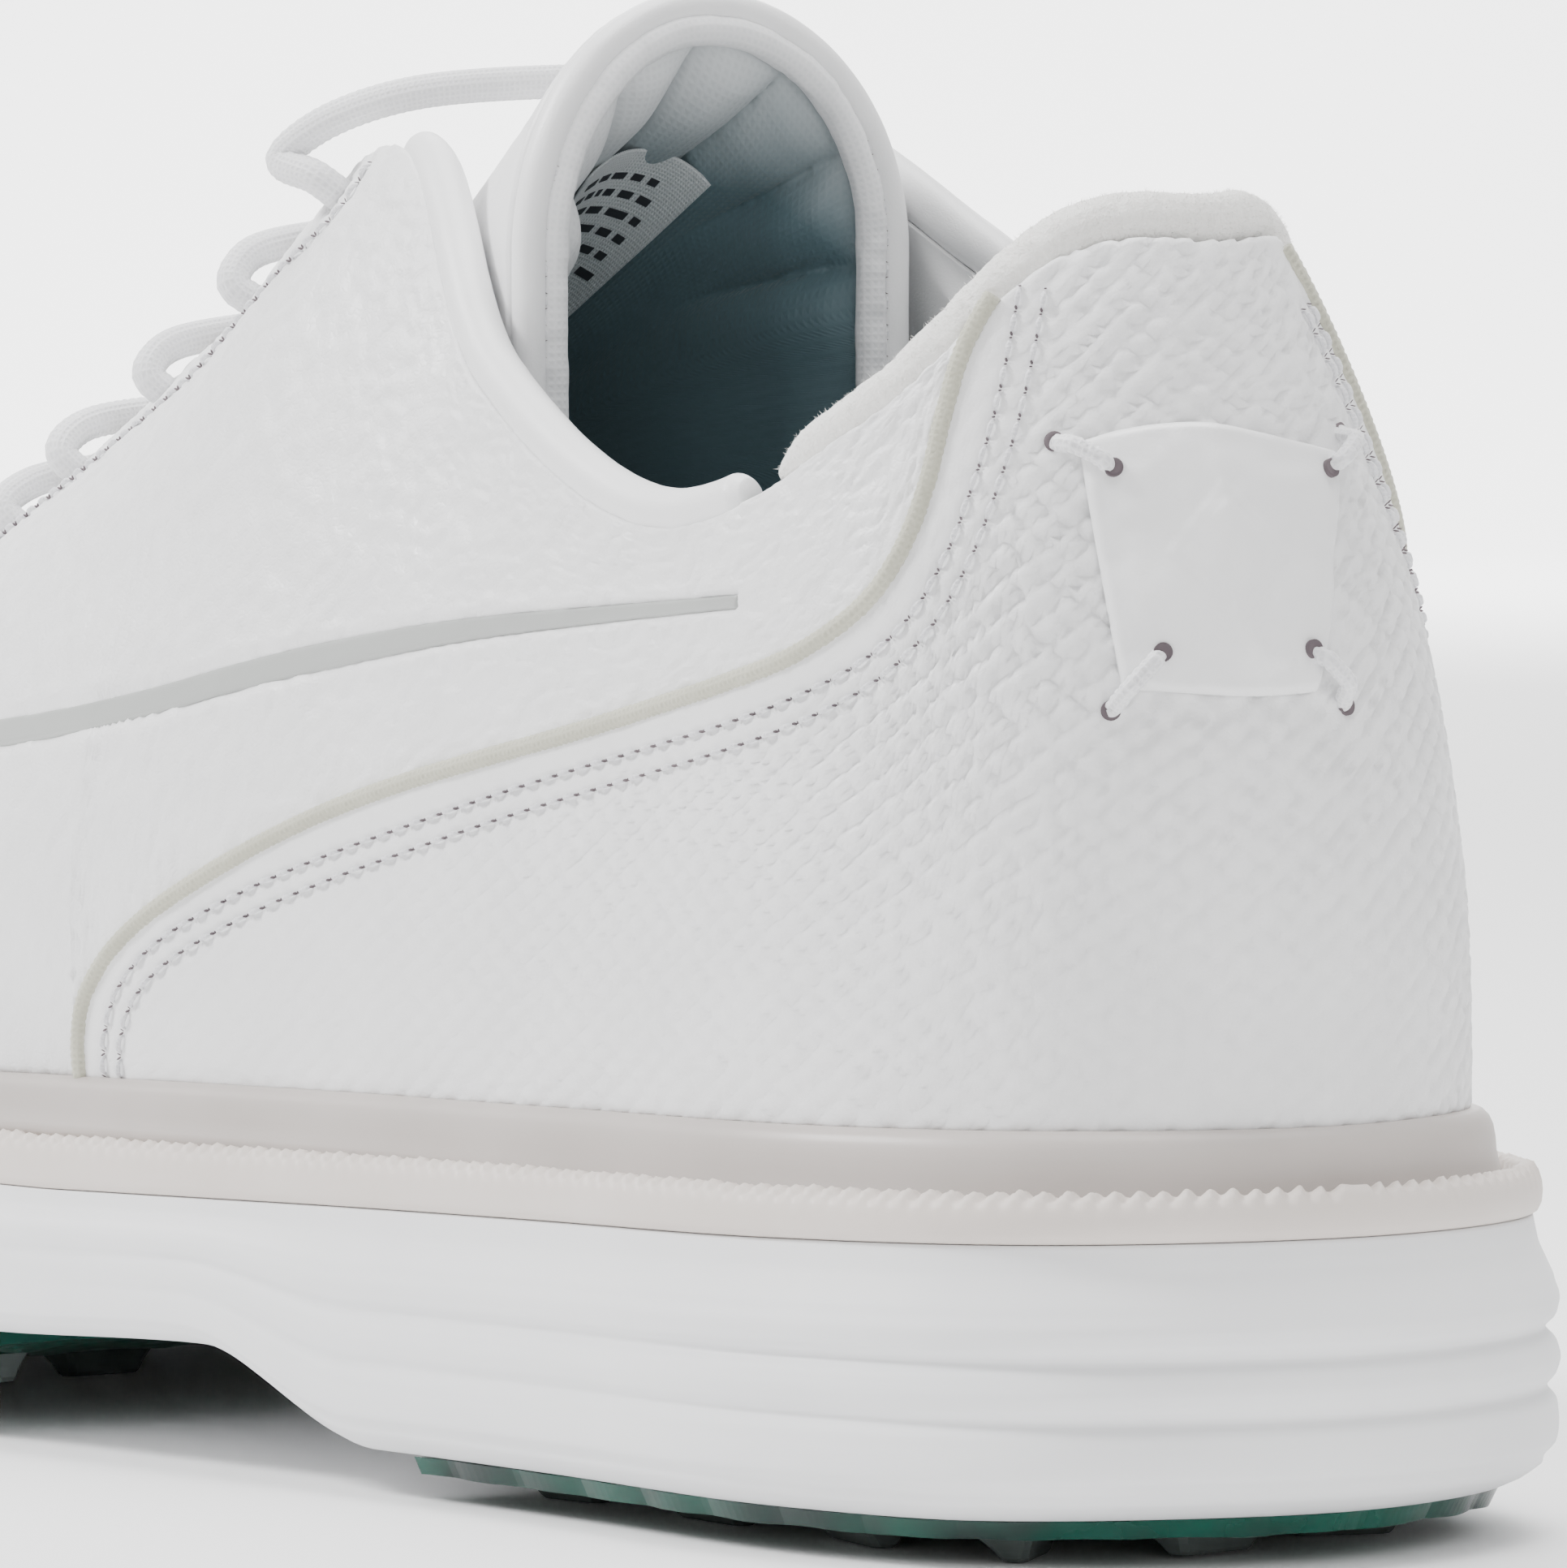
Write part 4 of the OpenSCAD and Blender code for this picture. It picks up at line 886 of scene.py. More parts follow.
def heel_cover():
    lines = [lines3(r)[0] for r in (ROW_A, ROW_B, ROW_AM, ROW_BM)]
    top = straight([(PIPE_M[0, 0], 0.965), (PIPE[0, 0], 0.965)], 120)
    high = by_length(np.concatenate([PIPE_M[::-1], top, PIPE]), 600)
    low = by_length(straight([(PIPE_M[-1, 0], 0), (PIPE[-1, 0], 0)], 600), 600)

    def outer(u, w, along, up):
        p = wall(u, w)
        near = np.minimum(distance_to(p, lines[1]), distance_to(p, lines[3]))
        edge = np.minimum(distance_to(p, lines[0]), distance_to(p, lines[2]))
        clear = np.where(edge < near, 0.15, 0.15 + 0.85 * ease(near / 1.8))
        h = scales(around(u), p[..., 2])
        upper = ease((p[..., 2] - 44) / 38)
        front = 1 - 0.65 * ease((np.abs(u) - 3.0) / 1.6)
        strength = (0.30 + 0.34 * upper) * front * clear
        pebble = wrinkles(along, up, 9, size=1.6, amount=0.07) * (1 - 0.7 * upper)
        return strength * (1 - h) + pebble + channel(p, lines, depth=0.28, wide=0.6)
    ob = slab("heel_overlay", low, high, 440, 98, outer, LEATHER, M["scale"], "shoe",
              edge=0.4)
    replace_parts(ob, "heel_cover")


def stitches(name, rows, pitch=2.3, length=1.75, r=0.26, body="shoe", lift=0.16):
    """Rows of thread; each stitch is a short bowed cord that dives into the leather at two needle holes.
    A stitch has 7 rings of 6 vertices, a hole has 2 rings of 6; each hole is a dark disc of painted shade."""
    V, F, H = [], [], []
    t = np.linspace(-0.5, 0.5, 7)
    ang = np.arange(6)[:, None] * math.pi / 3
    sin, cos = np.sin(ang), np.cos(ang)
    for pts, nrm in rows:
        s = lengths(pts)
        count = max(int(s[-1] / pitch), 1)
        c = (np.arange(count) + 0.5) * s[-1] / count
        at = c[:, None] + t[None, :] * length
        P, N = columns_at(at, s, pts), unit(columns_at(at, s, nrm))
        h = lift - 0.5 * np.abs(2 * t) ** 4
        P = P + N * h[None, :, None]
        T = unit(np.gradient(P, axis=1))
        B = np.cross(T, N)
        rr = r * (1 - 0.35 * np.abs(2 * t) ** 3)
        ring = P[:, :, None, :] + rr[None, :, None, None] * (N[:, :, None, :] * sin + B[:, :, None, :] * cos)
        base = sum(len(v) for v in V)
        V.append(ring.reshape(-1, 3))
        n0 = base + np.arange(count)[:, None, None] * 42
        i, j = np.arange(6)[None, :, None] * 6, np.arange(6)[None, None, :]
        a, b = n0 + i + j, n0 + i + (j + 1) % 6
        F += np.stack([a, b, b + 6, a + 6], -1).reshape(-1, 4).tolist()
        for k in range(count):
            o = base + 42 * k
            F += [[o + q for q in range(5, -1, -1)], [o + 36 + q for q in range(6)]]
        for e, dt in ((0, -0.06), (6, 0.06)):
            at2 = c + (t[e] + dt) * length
            H.append((columns_at(at2, s, pts), N[:, e], T[:, e]))
    faces_n = len(F)
    # Needle holes: dark discs on the leather, painted shade inside the holes.
    for Q, N, T in H:
        B = np.cross(T, N)
        base = sum(len(v) for v in V)
        d = Q[:, None, :] + 0.22 * (T[:, None, :] * sin + B[:, None, :] * cos)
        V.append(np.concatenate([d - 0.1 * N[:, None, :], d + 0.03 * N[:, None, :]], 1).reshape(-1, 3))
        for k in range(len(Q)):
            o = base + 12 * k
            F += [[o + 6 + q for q in range(6)], [o + q for q in range(5, -1, -1)]]
            F += [[o + q, o + (q + 1) % 6, o + 6 + (q + 1) % 6, o + 6 + q] for q in range(6)]
    ob = add_mesh(name, np.concatenate(V), F, M["thread"], body)
    # Second material: painted shade of the needle holes.
    ob.data.materials.append(M["hole"])
    index = np.zeros(len(ob.data.polygons), int)
    index[faces_n:] = 1
    ob.data.polygons.foreach_set("material_index", index)
    solid(ob)


def twisted(radius, strands, lay, depth):
    """Radius of a cord of strands that turn once round it in lay mm."""
    return lambda s, a: radius * (1 - depth * (1 - np.abs(np.cos(strands * (a - 2 * np.pi * s / lay) / 2))))


def piping(name, node, line):
    pts, _ = resample(skin(line[:, 0], line[:, 1], np.full(len(line), 0.1)), 0.3)
    ob = tube(name, pts, twisted(0.85, 3, 2.2, 0.18), M["cord"], "shoe", sides=24)
    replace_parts(solid(ob), node)


def stripe(name, node, side):
    b, t = (STRIPES[side] if side > 0 else [v[::-1] for v in STRIPES[side]])
    ob = slab(name, b, t, 300, 8, lambda u, w, x, y: 0.22 + 0.02 * noise2(x / 1.2, y / 0.8, 4), 0.85,
              M["stripe"], "shoe", edge=0.3)
    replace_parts(ob, node)


# Rows of stitches in (u, w): round the lace panel, and along the seam in front of it
EYE_ROW = [(5.12, 0.955), (5.14, 0.88), (5.3, 0.845), (5.75, 0.842), (6.3, 0.842), (6.9, 0.842),
           (7.24, 0.842)]
TOE_ROW_A = [(7.2, 0.995), (7.2, 0.8), (7.19, 0.5), (7.19, 0.25), (7.2, 0.01)]
TOE_ROW_B = [(7.13, 0.995), (7.13, 0.8), (7.12, 0.5), (7.12, 0.25), (7.13, 0.01)]


def slab(name, low, high, nu, nw, outer, inner, mat, body, edge=0.5, holes=()):
    """Sheet between two edge lines in (u, w); outer and inner are its faces' depths.
    Its borders are rounded over, and holes are punched through it."""
    s = np.linspace(0, 1, nu + 1)
    lo, hi = spline(low, s), spline(high, s)
    k = np.linspace(0, 1, nw + 1)
    k = np.concatenate([[0.0, 0.25 / nw], k[1:-1], [1 - 0.25 / nw, 1.0]])
    q = lo[:, None, :] + (hi - lo)[:, None, :] * k[None, :, None]
    u, w = q[..., 0], q[..., 1]
    base = wall(u, w)
    mid = base[:, base.shape[1] // 2]
    along = lengths(mid)[:, None] + 0 * u
    up = spread(base, 1)
    nrm = face_dir(u, w)
    d = np.minimum(np.minimum(up, up[:, -1:] - up), np.minimum(along, along[-1:] - along))
    roll = rounded(d, edge)
    n, m = u.shape
    keep = np.ones((n - 1, m - 1), bool)
    for hu, hw, r in holes:
        c = wall(np.array(hu), np.array(hw))
        away = base - c
        dist = np.linalg.norm(away, axis=-1)
        inside = dist < r + 0.12
        keep &= ~(inside[:-1, :-1] & inside[1:, :-1] & inside[:-1, 1:] & inside[1:, 1:])
        snap = (dist < r + 0.45) & (dist > r - 0.6)
        base = np.where(snap[..., None], c + away * (r / np.maximum(dist, 1e-6))[..., None], base)
        roll = roll + 0.35 * np.clip(1 - (dist - r) / 0.7, 0, 1) ** 2 * (dist > r - 0.7)
    do = depth_at(outer, u, w, along, up) + roll
    verts = two_faces(base, nrm, do, depth_at(inner, u, w, along, up))
    uv = np.stack([along, up], -1).reshape(-1, 2) / 100
    K = n * m
    i, j = np.nonzero(keep)
    a = i * m + j
    front = np.stack([a, a + m, a + m + 1, a + 1], -1)
    edges = np.concatenate([front[:, [0, 1]], front[:, [1, 2]], front[:, [2, 3]], front[:, [3, 0]]])
    key = np.sort(edges, 1)
    code = key[:, 0].astype(np.int64) * (K + 1) + key[:, 1]
    _, first, count = np.unique(code, return_index=True, return_counts=True)
    rim_edges = edges[first[count == 1]]
    a, b = rim_edges.T
    faces = np.concatenate([front[:, ::-1], front + K, np.stack([a, b, b + K, a + K], -1)])
    used = np.unique(faces)
    new = np.full(2 * K, -1)
    new[used] = np.arange(len(used))
    return solid(add_mesh(name, verts[used], new[faces].tolist(), mat, body,
                          uv=np.concatenate([uv, uv])[used]))


def toe_sheet(name, node, d0, d1, nu, nw, mat, seed):
    """One sheet over the ridge: both sides meet along the top."""
    flap = np.concatenate([np.linspace(7.18, 7.38, 20), np.linspace(7.38, 8, 20)[1:]])
    u = np.concatenate([flap, np.linspace(8, 12, nu)[1:-1], 20 - flap[::-1]])
    w = np.linspace(0, 1, nw + 1)
    U, W = np.meshgrid(u, w, indexing="ij")
    base, nrm = wall(U, W), face_dir(U, W)
    x = lengths(base[:, nw // 3])[:, None] + 0 * U
    y = spread(base, 1)
    outer = wrinkles(x, y, seed, size=2.6, amount=0.05) + d0
    outer = np.where(W > 0.97, d0 + (outer - d0) * (1 - W) / 0.03, outer)
    tuck = (LEATHER + 0.1) * (1 - ease((np.minimum(U, 20 - U) - 7.25) / 0.07))
    outer, d1 = outer + tuck, d1 + tuck
    verts = two_faces(base, nrm, outer, d1)
    ridge = (u >= RIDGE[0] - 0.001) & (u <= RIDGE[1] + 0.001)
    open_rows = np.nonzero(~(ridge[:-1] & ridge[1:]))[0]
    uv = np.tile(np.stack([x, y], -1).reshape(-1, 2) / 100, (2, 1))
    ob = add_mesh(name, verts, shell_faces(len(u), nw + 1, open_rows), mat, "shoe", uv=uv)
    solid(ob, merge=0.02 * MM)
    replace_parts(ob, node)


def fuzz(name, pts, normals, count, length, mat, slot, seed):
    """Short fibres standing off a napped surface."""
    rng = np.random.default_rng(seed)
    k = rng.integers(0, len(pts), count)
    p, n = pts[k], normals[k]
    d = unit(n + 0.9 * rng.normal(size=n.shape))
    side = unit(np.cross(d, n + 0.01)) * 0.035
    tip = p + d * length * rng.uniform(0.5, 1.0, (count, 1)) + 0.1 * rng.normal(size=n.shape)
    back = unit(np.cross(d, side)) * 0.035
    v = np.stack([p - side - 0.1 * n, p + side - 0.1 * n, p + back - 0.1 * n, tip], 1).reshape(-1, 3)
    o = np.arange(count)[:, None] * 4
    f = np.concatenate([o + [0, 1, 3], o + [1, 2, 3], o + [2, 0, 3], o + [0, 2, 1]])
    return solid(add_mesh(name, v, f.tolist(), mat, "shoe"))


def top_edge(u, depth):
    """Points under the upper's top edge, and the direction up the wall there."""
    pts = skin(u, 1 + 0 * u, depth + 0 * u)
    return pts, unit(pts - skin(u, 0.93 + 0 * u, depth + 0 * u))


def collar():
    pts, up = top_edge(np.linspace(-2.5, 2.47, 700), 2.25)
    thin = tapered(lengths(pts), 0.35, 6)

    def radius(d, a):
        r = 2.3 * (1 + 0.035 * noise2(d / 1.6, a * 1.6, 21) + 0.03 * noise2(d / 0.5, a * 5, 22))
        return r * thin
    ob = tube("collar_roll", pts, radius, M["trim"], "shoe", sides=36, up=up,
              profile=(1.08, 1.0))
    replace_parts(solid(ob), "collar_trim")
    v, n = (np.zeros(len(ob.data.vertices) * 3) for _ in range(2))
    ob.data.vertices.foreach_get("co", v)
    ob.data.vertices.foreach_get("normal", n)
    fuzz("collar_nap", v.reshape(-1, 3) / MM, n.reshape(-1, 3), 9000, 0.42, M["trim"], "trim_cream", 5)


def binding(name, node, u0, u1, seed):
    """Rolled leather edge with a turned seam."""
    u = np.linspace(u0, u1, 420)
    pts, up = top_edge(u, 2.1)
    thin = tapered(lengths(pts), 0.6, 1.5)
    front = ease((np.abs(u) - 4.7) / 0.6)[:, None]

    def radius(d, a):
        soft = 1 + 0.012 * noise2(d / 5, a * 1.2, seed) + 0.008 * noise2(d / 1.5, a * 3, seed + 1)
        return 2.12 * soft * (1 - 0.3 * front) * thin
    ob = tube(name, pts, radius, M["soft"], "shoe", sides=32, up=up, profile=(1.06, 1.0))
    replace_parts(solid(ob), node)


def lining_depth(u, w):
    v = np.abs(u)
    return (LEATHER + GAP + 1.35 * ease((4.6 - v) / 0.8) + 0.95 * ease((v - 4.2) / 0.6)
            + 2.8 * ease((w - 0.5) / 0.14) * ease((4.5 - v) / 0.9))


def lining_face(u, w):
    """The lining's depth, turning in under the rolled edge at the top."""
    d = lining_depth(u, w)
    return d - (d - 2.4) * ease((w - 0.88) / 0.065)


def linings():
    top = [(u, 0.79 if abs(u) > 4.9 else 0.945) for u in np.arange(-6, 7) * 1.2]
    low = [(u, 0.005) for u in np.arange(-6, 7) * 1.2]

    def face(u, w, x, y):
        behind = ease((w - 0.58) / 0.04) * ease((4.4 - np.abs(u)) / 0.6)
        quilt = 0.25 * np.cos(2 * np.pi * np.clip((w - 0.6) / 0.35, 0, 1)) * behind
        return lining_face(u, w) - quilt * 0.6 + 0.06 * noise2(x / 7, y / 7, 31)
    # The collar lining's dark teal is partly painted shade of the shoe's inside.
    ob = slab("collar_cloth", low, top, 300, 60, face, lambda u, w, x, y: lining_face(u, w) + 0.8,
              M["lining"], "shoe", edge=0.2)
    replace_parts(ob, "collar_lining")

    def facing(u, w, x, y):
        return lining_face(u, w) + 0.12 * noise2(x / 5, y / 4, 35)
    for side, name in ((1, "facing_outer_side"), (-1, "facing_inner_side")):
        us = side * np.linspace(2.75, 4.85, 9)
        low = [(u, 0.80 - 0.05 * k / 8) for k, u in enumerate(us)]
        slab(name, low[::side], [(u, 0.955) for u in us][::side], 120, 24,
             lambda u, w, x, y: facing(u, w, x, y) + 0.5 + 0.5 * ease(np.minimum(y, 1.5) / 1.5),
             lambda u, w, x, y: facing(u, w, x, y) + 1.7, M["soft"], "shoe", edge=0.3)
    us = np.arange(-6, 7) * 0.63
    pad = slab("collar_padding", [(u, 0.56) for u in us], [(u, 0.88) for u in us], 160, 24, LEATHER + 0.2,
               lambda u, w, x, y: lining_depth(u, w) - 0.75 + 0.15 * noise2(x / 3, y / 3, 33),
               M["padding"], "shoe", edge=0.3)
    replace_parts(pad, "collar_foam")


def patch():
    """Domed glossy patch over the heel seam, tied down at its corners, with a plain raised lozenge."""
    half, mid = 24 / 42, 0.33
    low = [(mid - 0.55 * half, 0.436), (mid, 0.43), (mid + 0.72 * half, 0.434)]
    high = [(mid - 1.08 * half, 0.7), (mid, 0.735), (mid + 0.98 * half, 0.715)]

    def face(u, w, x, y):
        ex = np.minimum(x, x.max() - x)
        ey = np.minimum(y, y.max(axis=1, keepdims=True) - y)
        dome = 0.55 * ease(np.minimum(ex, ey) / 5)
        cx, cy = (x - x.max() / 2) / 5.2, (y - y.max() / 2) / 6.5
        mark = 1 - ease((np.abs(cx) + np.abs(cy) - 0.8) / 0.25)
        ring = 0.35 * np.exp(-((np.abs(cx) + np.abs(cy) - 0.8) / 0.12) ** 2)
        soft = 0.30 * noise2(x / 4.5, y / 4.0, 41) + 0.11 * noise2(x / 1.5, y / 1.5, 42)
        return -1.0 - dome - 0.45 * mark + ring * 0.6 - soft
    ob = slab("heel_patch_leather", low, high, 90, 90, face, -0.05, M["patch"], "shoe",
              edge=0.9)
    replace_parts(ob, "heel_patch")


# Ties of the patch in (u, w): the hole in the leather, the hole in the patch
TIES = [((0.99, 0.723), (0.75, 0.676)), ((-0.46, 0.72), (-0.17, 0.678)), ((0.78, 0.413), (0.6, 0.472)),
        ((-0.13, 0.42), (0.05, 0.48))]


def ties():
    obs, H = [], []
    for k, (a, b) in enumerate(TIES):
        f = np.linspace(0, 1, 24)
        q = np.array(a) + (np.array(b) - np.array(a)) * f[:, None]
        rise = -0.3 + 2.4 * ease(f * 2.4) - 1.6 * ease((f - 0.78) / 0.22)
        pts = skin(q[:, 0], q[:, 1], -rise)
        pts, _ = smooth_path(pts, 0.2)
        obs.append(tube(f"tie_{k}", pts, twisted(0.78, 3, 2.6, 0.16), M["lace"], "shoe",
                        sides=18))
        for (hu, hw), r, lift in ((a, 0.85, 0.05), (b, 0.8, 1.62)):
            u, w = np.array([hu]), np.array([hw])
            H.append((skin(u, w, -lift + 0 * u), face_dir(u, w), r))
    ob = join("corner_ties", obs)
    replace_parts(solid(ob), "patch_ties")
    # Tie holes: dark rings and discs on the leather, painted shade inside the holes.
    V, F = [], []
    ang = np.arange(20) * math.pi / 10
    for k, (c, n, r) in enumerate(H):
        t = unit(np.cross(n, [[0.0, 0, 1]]))
        b = np.cross(n, t)
        circle = t * np.cos(ang)[:, None] + b * np.sin(ang)[:, None]
        o = len(V) * 60
        V.append(np.concatenate([c + circle * r - 0.5 * n, c + circle * r + 0.02 * n,
                                 c + circle * r * 0.6 - 0.1 * n]))
        for q in range(20):
            z = (q + 1) % 20
            F += [[o + q, o + z, o + 20 + z, o + 20 + q], [o + 20 + q, o + 20 + z, o + 40 + z, o + 40 + q]]
        F += [[o + 40 + q for q in range(20)], [o + q for q in range(19, -1, -1)]]
    solid(add_mesh("tie_holes_painted_shade", np.concatenate(V), F, M["hole"], "shoe"))


def cord_surface(radius):
    """Round braid: two families of strands crossing."""
    def f(s, a):
        x = 2 * np.pi * s / BRAID
        over = np.cos(6 * a + x * 2) * np.cos(6 * a - x * 2)
        return radius * (1 + 0.055 * over + 0.015 * np.cos(12 * a))
    return f


LACE_R, BRAID, EYESTAY = 1.5, 3.4, 0.8     # lace radius, length of one braid repeat, reinforcement sheet
UNDER_RUN, OVER_RUN = LEATHER + GAP + EYESTAY + 0.35 + LACE_R, -(LACE_R + 0.7)


def one(fn, u, w, d):
    return fn(np.array([float(u)]), np.array([float(w)]), np.array([float(d)]))[0]


def lace():
    hole = lambda side, k, d: one(skin, side * HOLES[k], HOLE_W, d)
    brim = lambda side, k, d: one(skin, side * HOLES[k], 1, d)

    def mid(k):
        a, b = brim(1, k, OVER_RUN), brim(-1, k, OVER_RUN)
        return np.array([(a[0] + b[0]) / 2, SIDE_Y, (a[2] + b[2]) / 2 + 1.4])

    def bar(side, k):
        a, b, c = brim(side, k, OVER_RUN - 0.3), mid(k), brim(-side, k, OVER_RUN - 0.3)
        up = np.array([0, 0, 0.4])
        return [hole(side, k, 1.2), hole(side, k, OVER_RUN), a, (a + b) / 2 + up, b, (b + c) / 2 + up, c,
                hole(-side, k, OVER_RUN), hole(-side, k, 1.2)]

    def run(side, a, b):
        return [hole(side, a, UNDER_RUN), one(skin, side * (HOLES[a] + HOLES[b]) / 2, HOLE_W, UNDER_RUN),
                hole(side, b, UNDER_RUN)]

    def tail(side, a, b):
        return [one(skin, side * (HOLES[a] + (HOLES[b] - HOLES[a]) * f), HOLE_W, UNDER_RUN)
                for f in (0.36, 0)]
    loop = [hole(1, 0, 1.2), hole(1, 0, -2.4)]
    stand = ((129, -18.4, 117), (125.5, -15.4, 120.5), (121, -8.9, 123), (117.5, 2.1, 124), (118, 13.1, 124),
             (121, 20.1, 122.5), (124, 23.6, 119.5))
    loop += [np.array([HEEL_X - x, y, z]) for x, y, z in stand]
    loop += [hole(-1, 0, -2.4), hole(-1, 0, 1.2)]
    route = (tail(1, 4, 3) + bar(1, 4) + run(-1, 4, 3) + bar(-1, 3) + run(1, 3, 2) + bar(1, 2)
             + run(-1, 2, 1) + bar(-1, 1)
             + run(1, 1, 0) + loop + tail(-1, 0, 1)[::-1])
    pts, _ = smooth_path(route, 0.42)
    ob = tube("braided_lace", pts, cord_surface(LACE_R), M["lace"], "shoe", sides=36)
    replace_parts(solid(ob), "shoelace")


quarter("quarter_outer_side", "quarter_lateral", PIPE, 1, 11)
quarter("quarter_inner_side", "quarter_medial", PIPE_M, -1, 14)
toe_sheet("vamp_leather", "vamp", 0, LEATHER, 260, 90, M["leather"], 17)
heel_cover()
stitches("overlay_thread", [lines3(r) for r in (ROW_A, ROW_B, ROW_AM, ROW_BM)])
stitches("lace_panel_thread", [lines3([(sd * u, w) for u, w in EYE_ROW]) for sd in (1, -1)])
stitches("toe_seam_thread", [lines3([(sd * u, w) for u, w in r]) for sd in (1, -1)
                             for r in (TOE_ROW_A, TOE_ROW_B)])
piping("piping_outer_side", "piping_lateral", PIPE)
piping("piping_inner_side", "piping_medial", PIPE_M)
stripe("stripe_outer_side", "side_stripe_lateral", 1)
stripe("stripe_inner_side", "side_stripe_medial", -1)
collar()
binding("binding_outer_side", "topline_binding_lateral", 2.62, 4.99, 51)
binding("binding_inner_side", "topline_binding_medial", -2.66, -4.99, 53)
linings()
patch()
ties()
lace()


# ---------------------------------------------------------------- tongue
# Rows of the tongue: distance ahead of the heel, half width on the outer and inner side, height in the
# middle, at the bend and at the edge
TG = [(216, 9, 9, 65.5, 60, 58.5), (200, 10.6, 10.8, 73.5, 66, 63.5), (184, 12, 12.2, 80.5, 71.5, 68.5),
      (167, 13, 13.2, 89, 78, 74), (150, 13, 14, 97.5, 85, 80), (133, 12.5, 15, 106.5, 94, 87),
      (117, 13.2, 17, 116, 101, 92), (104, 16, 20, 124.8, 105.5, 95), (93, 19.8, 22.5, 131.5, 109, 97)]
BEND = 0.78     # share of the half width where the arch turns into the side flap
ARCH = math.radians(88)
PAD = 4.2       # thickness of the tongue's padding
TAG = 3.0 + PAD


def tongue_pt(q, s):
    """Outer face of the tongue: q from its root (0) to its top (1), s across it from -1 to 1."""
    r = spline(TG, q)
    f = ARCH * np.minimum(np.abs(s) / BEND, 1)
    half = np.where(s < 0, -r[..., 1], r[..., 2])
    flap = np.maximum(np.abs(s) - BEND, 0) / (1 - BEND)
    z = r[..., 3] - (r[..., 3] - r[..., 4]) * (1 - np.cos(f)) / (1 - math.cos(ARCH))
    return np.stack([HEEL_X - r[..., 0], half * np.sin(f) + SIDE_Y, z - (r[..., 4] - r[..., 5]) * flap], -1)


def tongue_dir(q, s):
    a, b = np.maximum(q - 0.01, 0), np.minimum(q + 0.01, 1)
    return unit(np.cross(tongue_pt(b, s) - tongue_pt(a, s), tongue_pt(q, s + 0.02) - tongue_pt(q, s - 0.02)))


def tongue_skin(q, s, depth):
    return tongue_pt(q, s) - np.asarray(depth, float)[..., None] * tongue_dir(q, s)


def tongue_layer(name, q0, q1, s1, nq, ns, outer, inner, mat, edge=0.4):
    q, s = np.meshgrid(np.linspace(q0, q1, nq + 1), np.linspace(-s1, s1, ns + 1), indexing="ij")
    base, nrm = tongue_pt(q, s), tongue_dir(q, s)
    x = spread(base, 0)
    y = spread(base, 1)
    d = np.minimum(np.minimum(x, x[-1:] - x), np.minimum(y, y[:, -1:] - y))
    do = depth_at(outer, q, s, x, y) + rounded(d, edge)
    v = two_faces(base, nrm, do, depth_at(inner, q, s, x, y))
    # UV u runs from root (0) to top (1) and drops on the side flaps; the satin lining's painted shade
    # follows it.
    painted_shade_coord = q - 0.5 * ease((np.abs(s) - 0.88) / 0.3)
    uv = np.tile(np.stack([painted_shade_coord, s * 0.3], -1).reshape(-1, 2), (2, 1))
    return solid(add_mesh(name, v, shell_faces(*q.shape), mat, "tongue", uv=uv))


def edge_line(depth, shift, s1):
    """Line along the tongue's top edge, from flap to flap."""
    s = np.linspace(-s1, s1, 500)
    p = tongue_skin(1 + 0 * s, s, depth + 0 * s)
    p[:, 0] += shift
    return p


